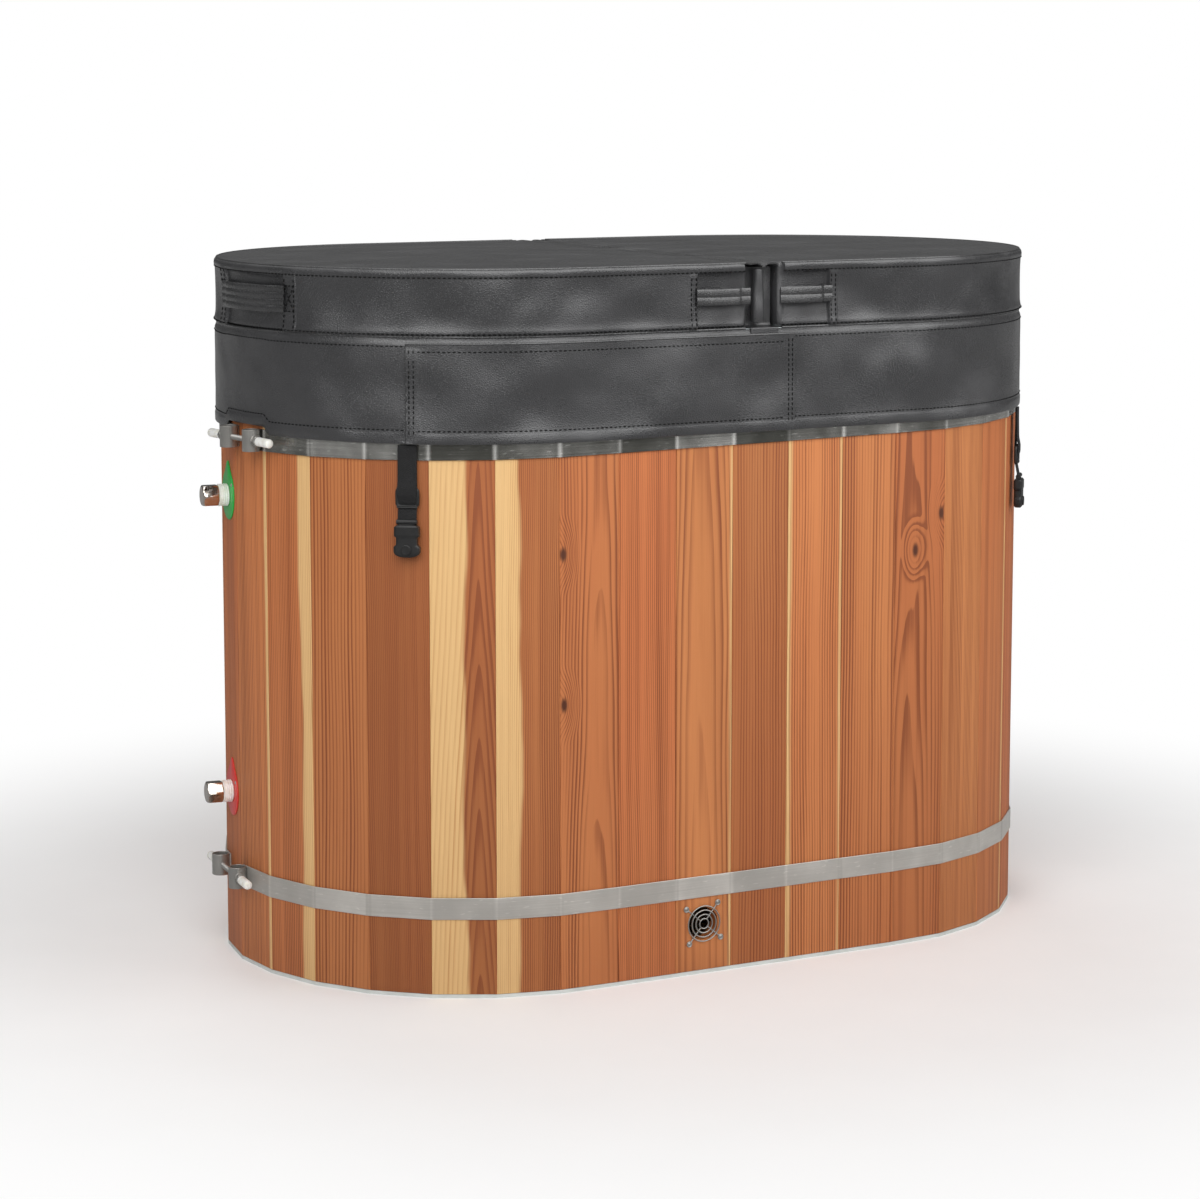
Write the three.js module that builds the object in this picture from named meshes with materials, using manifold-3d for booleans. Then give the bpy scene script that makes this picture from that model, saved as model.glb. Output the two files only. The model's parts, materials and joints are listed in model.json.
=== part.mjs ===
// Cold plunge tub: a cedar stave wall in two steel hoops round a moulded liner, with a folding padded cover.
// Millimetres, +Z up. The origin is on the floor under the middle of the tub.
// X runs along the tub, and the front flat side faces -Y.

import * as THREE from 'three';
import { mergeVertices } from 'three/addons/utils/BufferGeometryUtils.js';
import Module from 'manifold-3d';

const wasm = await Module();
wasm.setup();

// Plan of the wall
const STRAIGHT = 506; // flat stretch of each long side
const END_RADIUS = 360; // round ends, to the stave corners
const STAVE_COUNT = 37;
const FIRST_SEAM_BEHIND_TIP = 6; // first seam, behind the left tip
const STAVE_THICKNESS = 19;
const STAVE_ARRIS = 1.2; // chamfer on each outer long edge
const STAVE_GAP = 0.4; // between neighbouring staves
const TONGUE_LENGTH = 5;
const TONGUE_THICKNESS = 6;

// Heights
const TUB_HEIGHT = 896; // floor to the liner's rim, where the cover rests
const BASE_SHEET = 5;
const JOIST_HEIGHT = 88;
const FLOOR_PANEL = 18;
const CLEARANCE = 0.3; // between pieces that touch

// Liner
const LINER_WALL = 5;
const FLANGE_THICKNESS = 6;
const LINER_TOP_INSET = 44.5; // wall face to the liner's outer face, under the flange
const LINER_DRAFT = 7.5; // how much further in the liner is at its floor
const LINER_FLOOR_RADIUS = 55;
const RIM_LIP_RADIUS = 8;
const RIM_RING_HEIGHT = 38;
const END_STEPS = 24; // facets of each smooth round end

// Floor frame under the floor panel
const JOIST_WIDTH = 28;
const RUNNER_SPACING = 340;
const RUNNER_PAST_STRAIGHT = 197; // each runner's end past the straight stretch
const CROSS_COUNT = 3;
const CROSS_SPACING = 320;

// Hoops and their clamps
const HOOP_HEIGHT = 30;
const HOOP_THICKNESS = 2;
const HOOP_TILT = 0.0115; // rise of the upper hoop per millimetre towards the right end
const UPPER_HOOP_DROP = 158; // rim to its lower edge, at the middle of the tub
const LOWER_HOOP_Z = 109;
const LUG_RADIUS = 12.5;
const LUG_WELD = 0.8; // depth of the weld between a lug and its band
const BAND_TAIL = 5; // band past the middle of its lug
const LOWER_CLAMP = { ahead: -32, half: 41 }; // middle of the clamp ahead of the tip, half its lug spacing
const UPPER_CLAMP = { ahead: 35, half: 33 };
const ROD_RADIUS = 4;
const NUT_ACROSS = 13;
const NUT_LENGTH = 6.5;
const WASHER_RADIUS = 8.5;
const WASHER_THICKNESS = 1.6;
const SLEEVE_RADIUS = 6.2;
const SLEEVE_LENGTH = 34;
const SLEEVE_END = 5; // solid end of a sleeve, past its rod
const SLEEVE_DOME = 1; // height of the domed end

// Pipe fittings on the stave behind the left tip
const UPPER_FITTING_DROP = 239; // rim to the upper fitting's axis
const LOWER_FITTING_Z = 234;
const PLATE_RADIUS = 35;
const PLATE_TOP = 48; // fitting's axis to the plate's pointed top
const PLATE_NECK = 14.4; // half width where the tab leaves the disc
const PLATE_NECK_Z = 33; // height of that neck
const PLATE_TIP = 7.2; // half width of the tab's round tip
const PLATE_TIP_RISE = 5.4; // rounding of the tip
const PLATE_THICKNESS = 1.5;
const SHANK_RADIUS = 13.5;
const BORE_RADIUS = 8;
const COLLAR_RADIUS = 15.5;
const COLLAR_LENGTH = 14;
const SPIGOT_RADIUS = 11;
const SPIGOT_LENGTH = 17;
const INNER_FLANGE_RADIUS = 23;
const INNER_FLANGE = 5;
const SEAL_ROOM = 1.6; // for the soft washer behind the inner flange
const CAP_ACROSS = 28;
const CAP_LENGTH = 23;
const CAP_DOME = { radius: 13, edge: 3, shoulder: 0.6, flat: 10 }; // turned end of the cap
const HOLE_CLEARANCE = 0.8; // round a shank, a rod or a spigot

// Vent in the front wall, below the floor panel
const VENT_STAVE = 8;
const VENT_Z = 71.5;
const VENT_RADIUS = 23;
const VENT_TURN = 5.5; // degrees, as the guard was screwed on
const GUARD_SCREW_SQUARE = 50;
const GUARD_RINGS = [7, 13, 19, 25];
const GUARD_WIRE = 0.9; // wire radius
const GUARD_EYE = 3.4;
const GUARD_SCREW = { crown: 2, rise: 2.2, top: 2.6 }; // rounded head

// Cover
const FOLD_X = 18; // fold line of the cover
const FOLD_GAP = 46; // between the two pads
const PAD_THICKNESS = 90; // at the rim
const PAD_CROWN = 3.5; // extra height in the middle
const PAD_OVERHANG = 7; // pad's welt past the stave corners
const PAD_DRAW_IN = 2.5; // waist of the pad's sides
const PAD_EDGE = 6; // rounding of its top and bottom edges
const PAD_EDGE_MIDDLE = 1.8; // inset halfway round such an edge
const PAD_SLOPE = 144; // from the wall to where the crown levels off
const PAD_FLAT = 270; // from the wall to the flat middle
const GUSSET_THICKNESS = 4;
const GUSSET_SIDE_GAP = 2;
const SKIRT_THICKNESS = 3;
const SKIRT_CLEAR = 1.2; // from the upper hoop to the skirt
const SKIRT_DROP = 141; // rim to the hem
const SKIRT_SPLIT = 12; // between the two skirts at the fold
const CLAMP_RELIEF = { clear: 5, margin: 30 }; // hem raised over the upper clamp
const FLAP_REACH = 46; // flap past the fold
const FLAP_TOP_INSET = 8;

// Handles on the pads
const HANDLE_THICKNESS = 2.4;
const HANDLE_BOW = 9; // finger gap behind a handle
const HANDLE_SEAT = 14; // sewn-down stretch at each end
const SIDE_HANDLE = { edge: 2, length: 88, width: 22 }; // edge is measured from the pad's end
const END_HANDLE = { ahead: 50, half: 100, width: 36 }; // its middle is ahead of the tip
const HANDLE_STEPS = 20;
const HANDLE_RISE = 3; // steepness of a handle's bow at its ends

// Hold-down straps
const LEFT_STRAP_TURN = 39; // degrees round the end from the flat front or back
const RIGHT_STRAP_TURN = 48;
const WEBBING_WIDTH = 26;
const WEBBING_THICKNESS = 3.2;
const GLIDE = { drop: 55, side: 3.5, height: 29, thickness: 6, bar: 5, corner: 4 };
const BUCKLE = { drop: 106, side: 5.5, height: 43, thickness: 13, corner: 8, taper: 3 };
const BUCKLE_OUT = 4; // buckle's middle, out of the webbing's plane
const TONGUE = { inset: 2.5, thickness: 5, depth: 24, root: 2, corner: 4 };
const YOKE = { height: 9, inset: 3, proud: 1, corner: 2 };
const BUCKLE_WINDOW = { height: 13, depth: 4.5 };
const LOCK_RADIUS = 6;
const LOCK_PROUD = 0.8;
const LOCK_DROP = 32.7; // buckle's top to the middle of its lock

// Derived places
const HALF = STRAIGHT / 2;
const TIP = HALF + (END_RADIUS * Math.PI) / 2; // from the front's middle to an end's tip, along the wall
const GIRTH = 4 * TIP;
const PITCH = GIRTH / STAVE_COUNT;
const STAVE_FOOT = BASE_SHEET + CLEARANCE;
const STAVE_TOP = TUB_HEIGHT - FLANGE_THICKNESS - CLEARANCE;
const PANEL_Z = STAVE_FOOT + JOIST_HEIGHT + CLEARANCE;
const LINER_FOOT = PANEL_Z + FLOOR_PANEL + CLEARANCE;
const BAND_INNER = CLEARANCE;
const BAND_OUTER = BAND_INNER + HOOP_THICKNESS;
const SKIRT_INNER = BAND_OUTER + SKIRT_CLEAR;
const SKIRT_OUTER = SKIRT_INNER + SKIRT_THICKNESS;
const PAD_FOOT = TUB_HEIGHT + CLEARANCE;
const UPPER_HOOP_Z = TUB_HEIGHT - UPPER_HOOP_DROP;
const UPPER_FITTING_Z = TUB_HEIGHT - UPPER_FITTING_DROP;
const HEM_Z = TUB_HEIGHT - SKIRT_DROP;
const PAD_RIM = PAD_FOOT + PAD_THICKNESS;
const SKIRT_TOP = PAD_FOOT - CLEARANCE;
const FAR = 4 * TIP; // longer than anything here
const CUT_PAST = 1; // how far a cut or a joined end runs past the face it meets

// Finishes
const finish = (color, roughness, metalness = 0) => ({ color, roughness, metalness });
const CEDAR = finish(0xb06a3c, 0.55);
const PLYWOOD = finish(0xc9a878, 0.7);
const PALE_PLASTIC = finish(0xb9beba, 0.5);
const LINER_PLASTIC = finish(0xdfe6e8, 0.3);
const STEEL = finish(0xa9a9a6, 0.32, 1);
const CHROME = finish(0xd6d2cd, 0.12, 1);
const WHITE_PLASTIC = finish(0xe9e8e2, 0.4);
const GREEN_PLATE = finish(0x14a63c, 0.35);
const RED_PLATE = finish(0xd22c28, 0.35);
const VINYL = finish(0x2c2c2d, 0.45);
const WEBBING = finish(0x19191a, 0.7);
const BLACK_PLASTIC = finish(0x141414, 0.4);

const tub = new THREE.Group();

// Solids

function closedBody(geometry) {
  // Merges shared corners, drops flat triangles and turns the faces outwards.
  const bare = geometry.clone();
  bare.deleteAttribute('normal');
  bare.deleteAttribute('uv');
  const merged = mergeVertices(bare, 1e-4);
  const at = merged.getAttribute('position');
  const corner = (i) => new THREE.Vector3().fromBufferAttribute(at, i);
  const kept = [];
  let volume = 0;
  for (let i = 0; i < merged.index.count; i += 3) {
    const [a, b, c] = [0, 1, 2].map((j) => merged.index.getX(i + j));
    if (a !== b && b !== c && c !== a) {
      kept.push(a, b, c);
      volume += corner(a).dot(corner(b).cross(corner(c)));
    }
  }
  merged.setIndex(volume < 0 ? kept.reverse() : kept);
  return merged;
}

function solid(geometry) {
  const body = closedBody(geometry);
  const vertProperties = new Float32Array(body.getAttribute('position').array);
  const triVerts = new Uint32Array(body.index.array);
  return new wasm.Manifold(new wasm.Mesh({ numProp: 3, vertProperties, triVerts }));
}

function geometryOf(body) {
  const mesh = body.getMesh();
  const geometry = new THREE.BufferGeometry();
  geometry.setAttribute('position', new THREE.BufferAttribute(new Float32Array(mesh.vertProperties), 3));
  geometry.setIndex(Array.from(mesh.triVerts));
  return geometry;
}

const join = (...pieces) => geometryOf(pieces.map(solid).reduce((a, b) => a.add(b)));
const cut = (piece, ...tools) => geometryOf(tools.map(solid).reduce((a, b) => a.subtract(b), solid(piece)));
const keep = (piece, tool) => geometryOf(solid(piece).intersect(solid(tool)));

function add(name, geometry, look, parent = tub) {
  const mesh = new THREE.Mesh(geometry, new THREE.MeshStandardMaterial(look));
  mesh.name = name;
  parent.add(mesh);
  return mesh;
}

function slab(points, z, height) {
  // An outline in plan, raised from z by a height.
  const geometry = new THREE.ExtrudeGeometry(new THREE.Shape(points), { depth: height, bevelEnabled: false });
  return geometry.translate(0, 0, z);
}

function box(from, to) {
  const size = to.map((value, i) => value - from[i]);
  const middle = to.map((value, i) => (value + from[i]) / 2);
  return new THREE.BoxGeometry(...size).translate(...middle);
}

function roundedOutline(width, height, radius, top = width) {
  // A rounded rectangle about the origin, whose upper edge may have another width.
  const shape = new THREE.Shape();
  const [w, h, t] = [width / 2, height / 2, top / 2];
  shape.moveTo(-w + radius, -h);
  shape.lineTo(w - radius, -h);
  shape.quadraticCurveTo(w, -h, w, -h + radius);
  shape.lineTo(t, h - radius / 2);
  shape.quadraticCurveTo(t, h, t - radius / 2, h);
  shape.lineTo(-t + radius / 2, h);
  shape.quadraticCurveTo(-t, h, -t, h - radius / 2);
  shape.lineTo(-w, -h + radius);
  shape.quadraticCurveTo(-w, -h, -w + radius, -h);
  return shape;
}

function faced(shape, thickness, out = 0, curveSegments = 4) {
  // A shape drawn as seen from outside the tub, standing upright and thickened outwards, towards -Y.
  const geometry = new THREE.ExtrudeGeometry(shape, { depth: thickness, bevelEnabled: false, curveSegments });
  return geometry.rotateX(Math.PI / 2).translate(0, -out, 0);
}

function outwardLathe(profile, segments) {
  // A profile of (radius, distance out of the wall), turned about an axis that points out of the wall.
  const points = profile.map(([radius, out]) => new THREE.Vector2(radius, out));
  return new THREE.LatheGeometry(points, segments).rotateX(Math.PI);
}

// Places along the wall: s is the distance along it from the front's middle, towards +X

function station(s, out = 0) {
  // A point of the smooth outline, and the turn that makes -Y face outwards there.
  const side = s < 0 ? -1 : 1;
  const along = Math.abs(s);
  const bend = (along - HALF) / END_RADIUS;
  const radius = END_RADIUS + out;
  if (bend <= 0) return { x: s, y: -radius, turn: 0 };
  if (bend < Math.PI) {
    return { x: side * (HALF + radius * Math.sin(bend)), y: -radius * Math.cos(bend), turn: side * bend };
  }
  return { x: side * (HALF - (bend - Math.PI) * END_RADIUS), y: radius, turn: side * Math.PI };
}

function stops(from, to) {
  // Distances from one place to another, with every facet of the round ends between them.
  const low = Math.min(from, to);
  const high = Math.max(from, to);
  const step = (Math.PI * END_RADIUS) / END_STEPS;
  const arc = Array.from({ length: END_STEPS + 1 }, (_, i) => HALF + i * step);
  const inner = [...arc.map((s) => -s).reverse(), ...arc].filter((s) => s > low && s < high);
  return [low, ...inner, high];
}

function strip(from, to, inner, outer, z, height) {
  // A wall that follows the outline between two offsets.
  const line = stops(from, to);
  const point = (s, offset) => {
    const place = station(s, offset);
    return new THREE.Vector2(place.x, place.y);
  };
  const points = [...line.map((s) => point(s, outer)), ...line.reverse().map((s) => point(s, inner))];
  return slab(points, z, height);
}

function roundOutline(out) {
  // The smooth outline, from the left tip round the front, the right tip and the back.
  const right = stops(0, 2 * TIP).map((s) => station(s, out));
  const left = stops(-2 * TIP, 0).map((s) => station(s, out)).slice(1, -1);
  return [...right, ...left].map((place) => new THREE.Vector2(place.x, place.y));
}

function loft(profile) {
  // Rings of the smooth outline at each (offset, height), closed by a flat face at both ends.
  const rings = profile.map(([out, z]) => roundOutline(out).map((p) => new THREE.Vector3(p.x, p.y, z)));
  const count = rings[0].length;
  const index = [];
  for (let ring = 0; ring + 1 < rings.length; ring += 1) {
    for (let i = 0; i < count; i += 1) {
      const [a, b] = [ring * count + i, ring * count + ((i + 1) % count)];
      index.push(a, b, b + count, a, b + count, a + count);
    }
  }
  const lid = (ring, turn) => {
    const flat = rings[ring].map((p) => new THREE.Vector2(p.x, p.y));
    THREE.ShapeUtils.triangulateShape(flat, []).forEach((face) => {
      const corners = face.map((i) => i + ring * count);
      index.push(...(turn ? corners.reverse() : corners));
    });
  };
  lid(0, true);
  lid(rings.length - 1, false);
  const geometry = new THREE.BufferGeometry().setFromPoints(rings.flat());
  geometry.setIndex(index);
  return closedBody(geometry);
}

function corner(seam, out) {
  // A stave corner, moved out of the wall square to both staves that meet there.
  const place = (k) => {
    const s = -TIP - FIRST_SEAM_BEHIND_TIP + (((k % STAVE_COUNT) + STAVE_COUNT) % STAVE_COUNT) * PITCH;
    const around = s > 2 * TIP ? s - GIRTH : s;
    const { x, y } = station(around);
    return new THREE.Vector2(x, y);
  };
  const here = place(seam);
  const before = here.clone().sub(place(seam - 1)).normalize();
  const after = place(seam + 1).sub(here).normalize();
  const [first, second] = [before, after].map((v) => new THREE.Vector2(v.y, -v.x));
  const reach = out / (1 + first.dot(second));
  return here.add(first.add(second).multiplyScalar(reach));
}

function facet(s, out = 0) {
  // The place at s on the flat face of a stave, with that face's turn.
  const seams = (s + TIP + FIRST_SEAM_BEHIND_TIP) / PITCH;
  const seam = Math.floor(seams);
  const [start, end] = [corner(seam, out), corner(seam + 1, out)];
  const along = end.clone().sub(start);
  const point = start.addScaledVector(along, seams - seam);
  return { x: point.x, y: point.y, turn: Math.atan2(along.y, along.x) };
}

const staveMiddle = (index) => -TIP - FIRST_SEAM_BEHIND_TIP + (index + 0.5) * PITCH;

function wallGroup(place, z) {
  const group = new THREE.Group();
  group.position.set(place.x, place.y, z);
  group.rotation.z = place.turn;
  tub.add(group);
  return group;
}

function placed(geometry, place, z) {
  return geometry.rotateZ(place.turn).translate(place.x, place.y, z);
}

// Base sheet, floor frame, floor panel and rim ring

const ringOfCorners = (out) => Array.from({ length: STAVE_COUNT }, (_, k) => corner(k, out));
const FRAME_INSET = -STAVE_THICKNESS - CLEARANCE;

function floorFrame() {
  const joist = (from, to) => box([...from, STAVE_FOOT], [...to, STAVE_FOOT + JOIST_HEIGHT]);
  const [halfRun, halfJoist, halfSpan] = [HALF + RUNNER_PAST_STRAIGHT, JOIST_WIDTH / 2, RUNNER_SPACING / 2];
  const runners = [-1, 1].map((side) => {
    const y = side * halfSpan;
    return joist([-halfRun, y - halfJoist], [halfRun, y + halfJoist]);
  });
  const crosses = Array.from({ length: CROSS_COUNT }, (_, i) => {
    const x = (i - (CROSS_COUNT - 1) / 2) * CROSS_SPACING;
    return joist([x - halfJoist, -halfSpan], [x + halfJoist, halfSpan]);
  });
  return join(...runners, ...crosses);
}

add('base_sheet', slab(ringOfCorners(0), 0, BASE_SHEET), PALE_PLASTIC);
add('floor_frame', floorFrame(), PLYWOOD);
add('floor_panel', slab(ringOfCorners(FRAME_INSET), PANEL_Z, FLOOR_PANEL), PLYWOOD);

function rimRing() {
  const shape = new THREE.Shape(ringOfCorners(FRAME_INSET));
  shape.holes.push(new THREE.Path(roundOutline(CLEARANCE - LINER_TOP_INSET)));
  const geometry = new THREE.ExtrudeGeometry(shape, { depth: RIM_RING_HEIGHT, bevelEnabled: false });
  return geometry.translate(0, 0, STAVE_TOP - RIM_RING_HEIGHT);
}

add('rim_ring', rimRing(), PLYWOOD);

// Fittings are square to the stave behind the left tip

const fittingPlace = facet(staveMiddle(-1));
const fittingHeights = { upper: UPPER_FITTING_Z, lower: LOWER_FITTING_Z };

function shankHole(z) {
  const radius = SHANK_RADIUS + HOLE_CLEARANCE;
  return placed(new THREE.CylinderGeometry(radius, radius, 4 * LINER_TOP_INSET, 24), fittingPlace, z);
}

// Liner: a tapered moulded shell with a flange over the stave tops

function linerInset(z) {
  const rise = (TUB_HEIGHT - z) / (TUB_HEIGHT - LINER_FOOT);
  return LINER_TOP_INSET + LINER_DRAFT * rise;
}

function liner() {
  const round = (inset, z, radius, fromTurn, toTurn, steps) => Array.from({ length: steps + 1 }, (_, i) => {
    const turn = fromTurn + ((toTurn - fromTurn) * i) / steps;
    return [-inset + radius * Math.cos(turn), z + radius * Math.sin(turn)];
  });
  const down = -Math.PI / 2;
  const footInset = linerInset(LINER_FOOT);
  const outerRadius = LINER_FLOOR_RADIUS + LINER_WALL;
  const flangeFoot = TUB_HEIGHT - FLANGE_THICKNESS;
  const lipInset = LINER_TOP_INSET + LINER_WALL - RIM_LIP_RADIUS;
  const profile = [
    ...round(footInset + outerRadius, LINER_FOOT + outerRadius, outerRadius, down, 0, 5),
    [-LINER_TOP_INSET, flangeFoot],
    [-STAVE_ARRIS, flangeFoot],
    [-STAVE_ARRIS, TUB_HEIGHT],
    ...round(lipInset, TUB_HEIGHT - RIM_LIP_RADIUS, RIM_LIP_RADIUS, -down, Math.PI, 3),
    ...round(footInset + outerRadius, LINER_FOOT + outerRadius, LINER_FLOOR_RADIUS, 0, down, 5),
  ];
  return cut(loft(profile), ...Object.values(fittingHeights).map(shankHole));
}

add('liner', liner(), LINER_PLASTIC);

// Staves: flat boards with bevelled, tongued edges, in pairs; the last one is single

function stavePanel(first, count) {
  const heading = (seam) => corner(seam + 1, 0).sub(corner(seam, 0)).normalize();
  const across = (seam) => heading(seam - 1).add(heading(seam)).normalize();
  const face = (seam, board, shift) => corner(seam, 0).addScaledVector(heading(board), shift);
  const edge = (seam, depth, shift) => corner(seam, -depth).addScaledVector(across(seam), shift);
  const last = first + count;
  const half = STAVE_GAP / 2;
  const tongue = [(STAVE_THICKNESS - TONGUE_THICKNESS) / 2, (STAVE_THICKNESS + TONGUE_THICKNESS) / 2];
  const groove = [tongue[0] - CLEARANCE, tongue[1] + CLEARANCE];
  const mid = Array.from({ length: count - 1 }, (_, i) => first + 1 + i).flatMap((seam) => [
    face(seam, seam - 1, -STAVE_ARRIS),
    corner(seam, -STAVE_ARRIS),
    face(seam, seam, STAVE_ARRIS),
  ]);
  const points = [
    edge(first, STAVE_THICKNESS, half),
    edge(first, groove[1], half),
    edge(first, groove[1], half + TONGUE_LENGTH),
    edge(first, groove[0], half + TONGUE_LENGTH),
    edge(first, groove[0], half),
    edge(first, STAVE_ARRIS, half),
    face(first, first, half + STAVE_ARRIS),
    ...mid,
    face(last, last - 1, -half - STAVE_ARRIS),
    edge(last, STAVE_ARRIS, -half),
    edge(last, tongue[0], -half),
    edge(last, tongue[0], TONGUE_LENGTH - half),
    edge(last, tongue[1], TONGUE_LENGTH - half),
    edge(last, tongue[1], -half),
    edge(last, STAVE_THICKNESS, -half),
    ...Array.from({ length: count - 1 }, (_, i) => corner(last - 1 - i, -STAVE_THICKNESS)),
  ];
  return slab(points, STAVE_FOOT, STAVE_TOP - STAVE_FOOT);
}

const ventPlace = facet(staveMiddle(VENT_STAVE));

function ventHole() {
  const drill = new THREE.CylinderGeometry(VENT_RADIUS, VENT_RADIUS, 3 * STAVE_THICKNESS, 24);
  return placed(drill, ventPlace, VENT_Z);
}

for (let first = 0; first < STAVE_COUNT; first += 2) {
  const count = Math.min(2, STAVE_COUNT - first);
  const holes = [];
  if (VENT_STAVE >= first && VENT_STAVE < first + count) holes.push(ventHole());
  if (first + count === STAVE_COUNT) holes.push(...Object.values(fittingHeights).map(shankHole));
  const panel = stavePanel(first, count);
  const name = `staves_${String(first + 1).padStart(2, '0')}`;
  add(name, holes.length ? cut(panel, ...holes) : panel, CEDAR);
}

// Hoops: flat bands bent at each stave corner, closed by a threaded rod through two welded lugs

function clampPlaces({ ahead, half }) {
  // The lug centres, and the place between them whose X axis runs along the rod.
  const lugs = [-half, half].map((shift) => {
    const wall = facet(-TIP + ahead + shift, BAND_OUTER);
    const reach = LUG_RADIUS - LUG_WELD;
    return new THREE.Vector2(wall.x + reach * Math.sin(wall.turn), wall.y - reach * Math.cos(wall.turn));
  });
  const along = lugs[1].clone().sub(lugs[0]);
  const middle = lugs[0].clone().add(lugs[1]).multiplyScalar(0.5);
  return { lugs, span: along.length(), x: middle.x, y: middle.y, turn: Math.atan2(along.y, along.x) };
}

function hoop(clamp, z, tilt) {
  const places = clampPlaces(clamp);
  const start = -TIP + clamp.ahead + clamp.half - BAND_TAIL;
  const end = -TIP + clamp.ahead - clamp.half + BAND_TAIL + GIRTH;
  const seamAt = (s) => (s + TIP + FIRST_SEAM_BEHIND_TIP) / PITCH;
  const seams = [];
  for (let seam = Math.ceil(seamAt(start)); seam < seamAt(end); seam += 1) seams.push(seam);
  const line = (out) => [facet(start, out), ...seams.map((seam) => corner(seam, out)), facet(end, out)];
  const points = [...line(BAND_OUTER), ...line(BAND_INNER).reverse()].map((p) => new THREE.Vector2(p.x, p.y));
  const band = slab(points, z, HOOP_HEIGHT).applyMatrix4(new THREE.Matrix4().makeShear(0, tilt, 0, 0, 0, 0));
  const lugs = places.lugs.map((lug) => {
    const ring = new THREE.Shape().absarc(0, 0, LUG_RADIUS, 0, 2 * Math.PI);
    ring.holes.push(new THREE.Path().absarc(0, 0, LUG_RADIUS - HOOP_THICKNESS, 0, 2 * Math.PI));
    const length = { depth: HOOP_HEIGHT, bevelEnabled: false, curveSegments: 9 };
    const tube = new THREE.ExtrudeGeometry(ring, length);
    return tube.translate(lug.x, lug.y, z + tilt * lug.x);
  });
  const holeRadius = ROD_RADIUS + HOLE_CLEARANCE;
  const drill = new THREE.CylinderGeometry(holeRadius, holeRadius, places.span + 4 * LUG_RADIUS, 12);
  const rodHole = placed(drill.rotateZ(Math.PI / 2), places, clampHeight(places, z, tilt));
  return cut(join(band, ...lugs), rodHole);
}

const clampHeight = (places, z, tilt) => z + HOOP_HEIGHT / 2 + tilt * places.x;

function rodWithNuts(span) {
  const lugFace = span / 2 + LUG_RADIUS;
  const rodEnd = lugFace + WASHER_THICKNESS + NUT_LENGTH + SLEEVE_LENGTH - SLEEVE_END;
  const rod = new THREE.CylinderGeometry(ROD_RADIUS, ROD_RADIUS, 2 * rodEnd, 12).rotateZ(Math.PI / 2);
  const ends = [-1, 1].flatMap((side) => {
    const washerAt = side * (lugFace + CLEARANCE + WASHER_THICKNESS / 2);
    const nutAt = side * (lugFace + CLEARANCE + WASHER_THICKNESS + NUT_LENGTH / 2);
    const nutRadius = NUT_ACROSS / Math.sqrt(3);
    const washer = new THREE.CylinderGeometry(WASHER_RADIUS, WASHER_RADIUS, WASHER_THICKNESS, 20);
    const nut = new THREE.CylinderGeometry(nutRadius, nutRadius, NUT_LENGTH, 6);
    washer.rotateZ(Math.PI / 2).translate(washerAt, 0, 0);
    nut.rotateZ(Math.PI / 2).translate(nutAt, 0, 0);
    return [washer, nut];
  });
  return join(rod, ...ends);
}

function sleeve(span, side) {
  // A blind plastic sleeve with a domed end over one end of the rod.
  const bore = ROD_RADIUS + HOLE_CLEARANCE / 2;
  const shoulder = SLEEVE_LENGTH - SLEEVE_RADIUS / 2;
  const profile = [
    [0, SLEEVE_LENGTH - SLEEVE_END + CLEARANCE], [bore, SLEEVE_LENGTH - SLEEVE_END + CLEARANCE], [bore, 0],
    [SLEEVE_RADIUS, 0], [SLEEVE_RADIUS, shoulder], [bore, SLEEVE_LENGTH - SLEEVE_DOME], [0, SLEEVE_LENGTH],
  ];
  const points = profile.map(([radius, along]) => new THREE.Vector2(radius, along));
  const start = span / 2 + LUG_RADIUS + WASHER_THICKNESS + NUT_LENGTH + 2 * CLEARANCE;
  return new THREE.LatheGeometry(points, 16).rotateZ(-side * Math.PI / 2).translate(side * start, 0, 0);
}

function addHoop(name, clamp, z, tilt) {
  const places = clampPlaces(clamp);
  const group = wallGroup(places, clampHeight(places, z, tilt));
  add(`${name}_hoop`, hoop(clamp, z, tilt), STEEL);
  add(`${name}_hoop_rod`, rodWithNuts(places.span), STEEL, group);
  add(`${name}_hoop_sleeve_rear`, closedBody(sleeve(places.span, -1)), WHITE_PLASTIC, group);
  add(`${name}_hoop_sleeve_front`, closedBody(sleeve(places.span, 1)), WHITE_PLASTIC, group);
}

addHoop('lower', LOWER_CLAMP, LOWER_HOOP_Z, 0);
addHoop('upper', UPPER_CLAMP, UPPER_HOOP_Z, HOOP_TILT);

// Pipe fittings: a pointed plate on the stave, a through-wall spigot and a hexagonal screw cap

function pointedPlate() {
  const shoulder = Math.PI / 4;
  const shape = new THREE.Shape();
  shape.absarc(0, 0, PLATE_RADIUS, Math.PI - shoulder, 2 * Math.PI + shoulder);
  shape.quadraticCurveTo(PLATE_NECK, PLATE_NECK_Z, PLATE_TIP, PLATE_TOP - PLATE_TIP_RISE);
  shape.quadraticCurveTo(0, PLATE_TOP + PLATE_TIP_RISE, -PLATE_TIP, PLATE_TOP - PLATE_TIP_RISE);
  const [footX, footZ] = [PLATE_RADIUS * Math.cos(shoulder), PLATE_RADIUS * Math.sin(shoulder)];
  shape.quadraticCurveTo(-PLATE_NECK, PLATE_NECK_Z, -footX, footZ);
  shape.holes.push(new THREE.Path().absarc(0, 0, SHANK_RADIUS + HOLE_CLEARANCE, 0, 2 * Math.PI));
  return faced(shape, PLATE_THICKNESS, CLEARANCE, 8);
}

const COLLAR_FOOT = PLATE_THICKNESS + 2 * CLEARANCE;
const SPIGOT_FOOT = COLLAR_FOOT + COLLAR_LENGTH;

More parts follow.
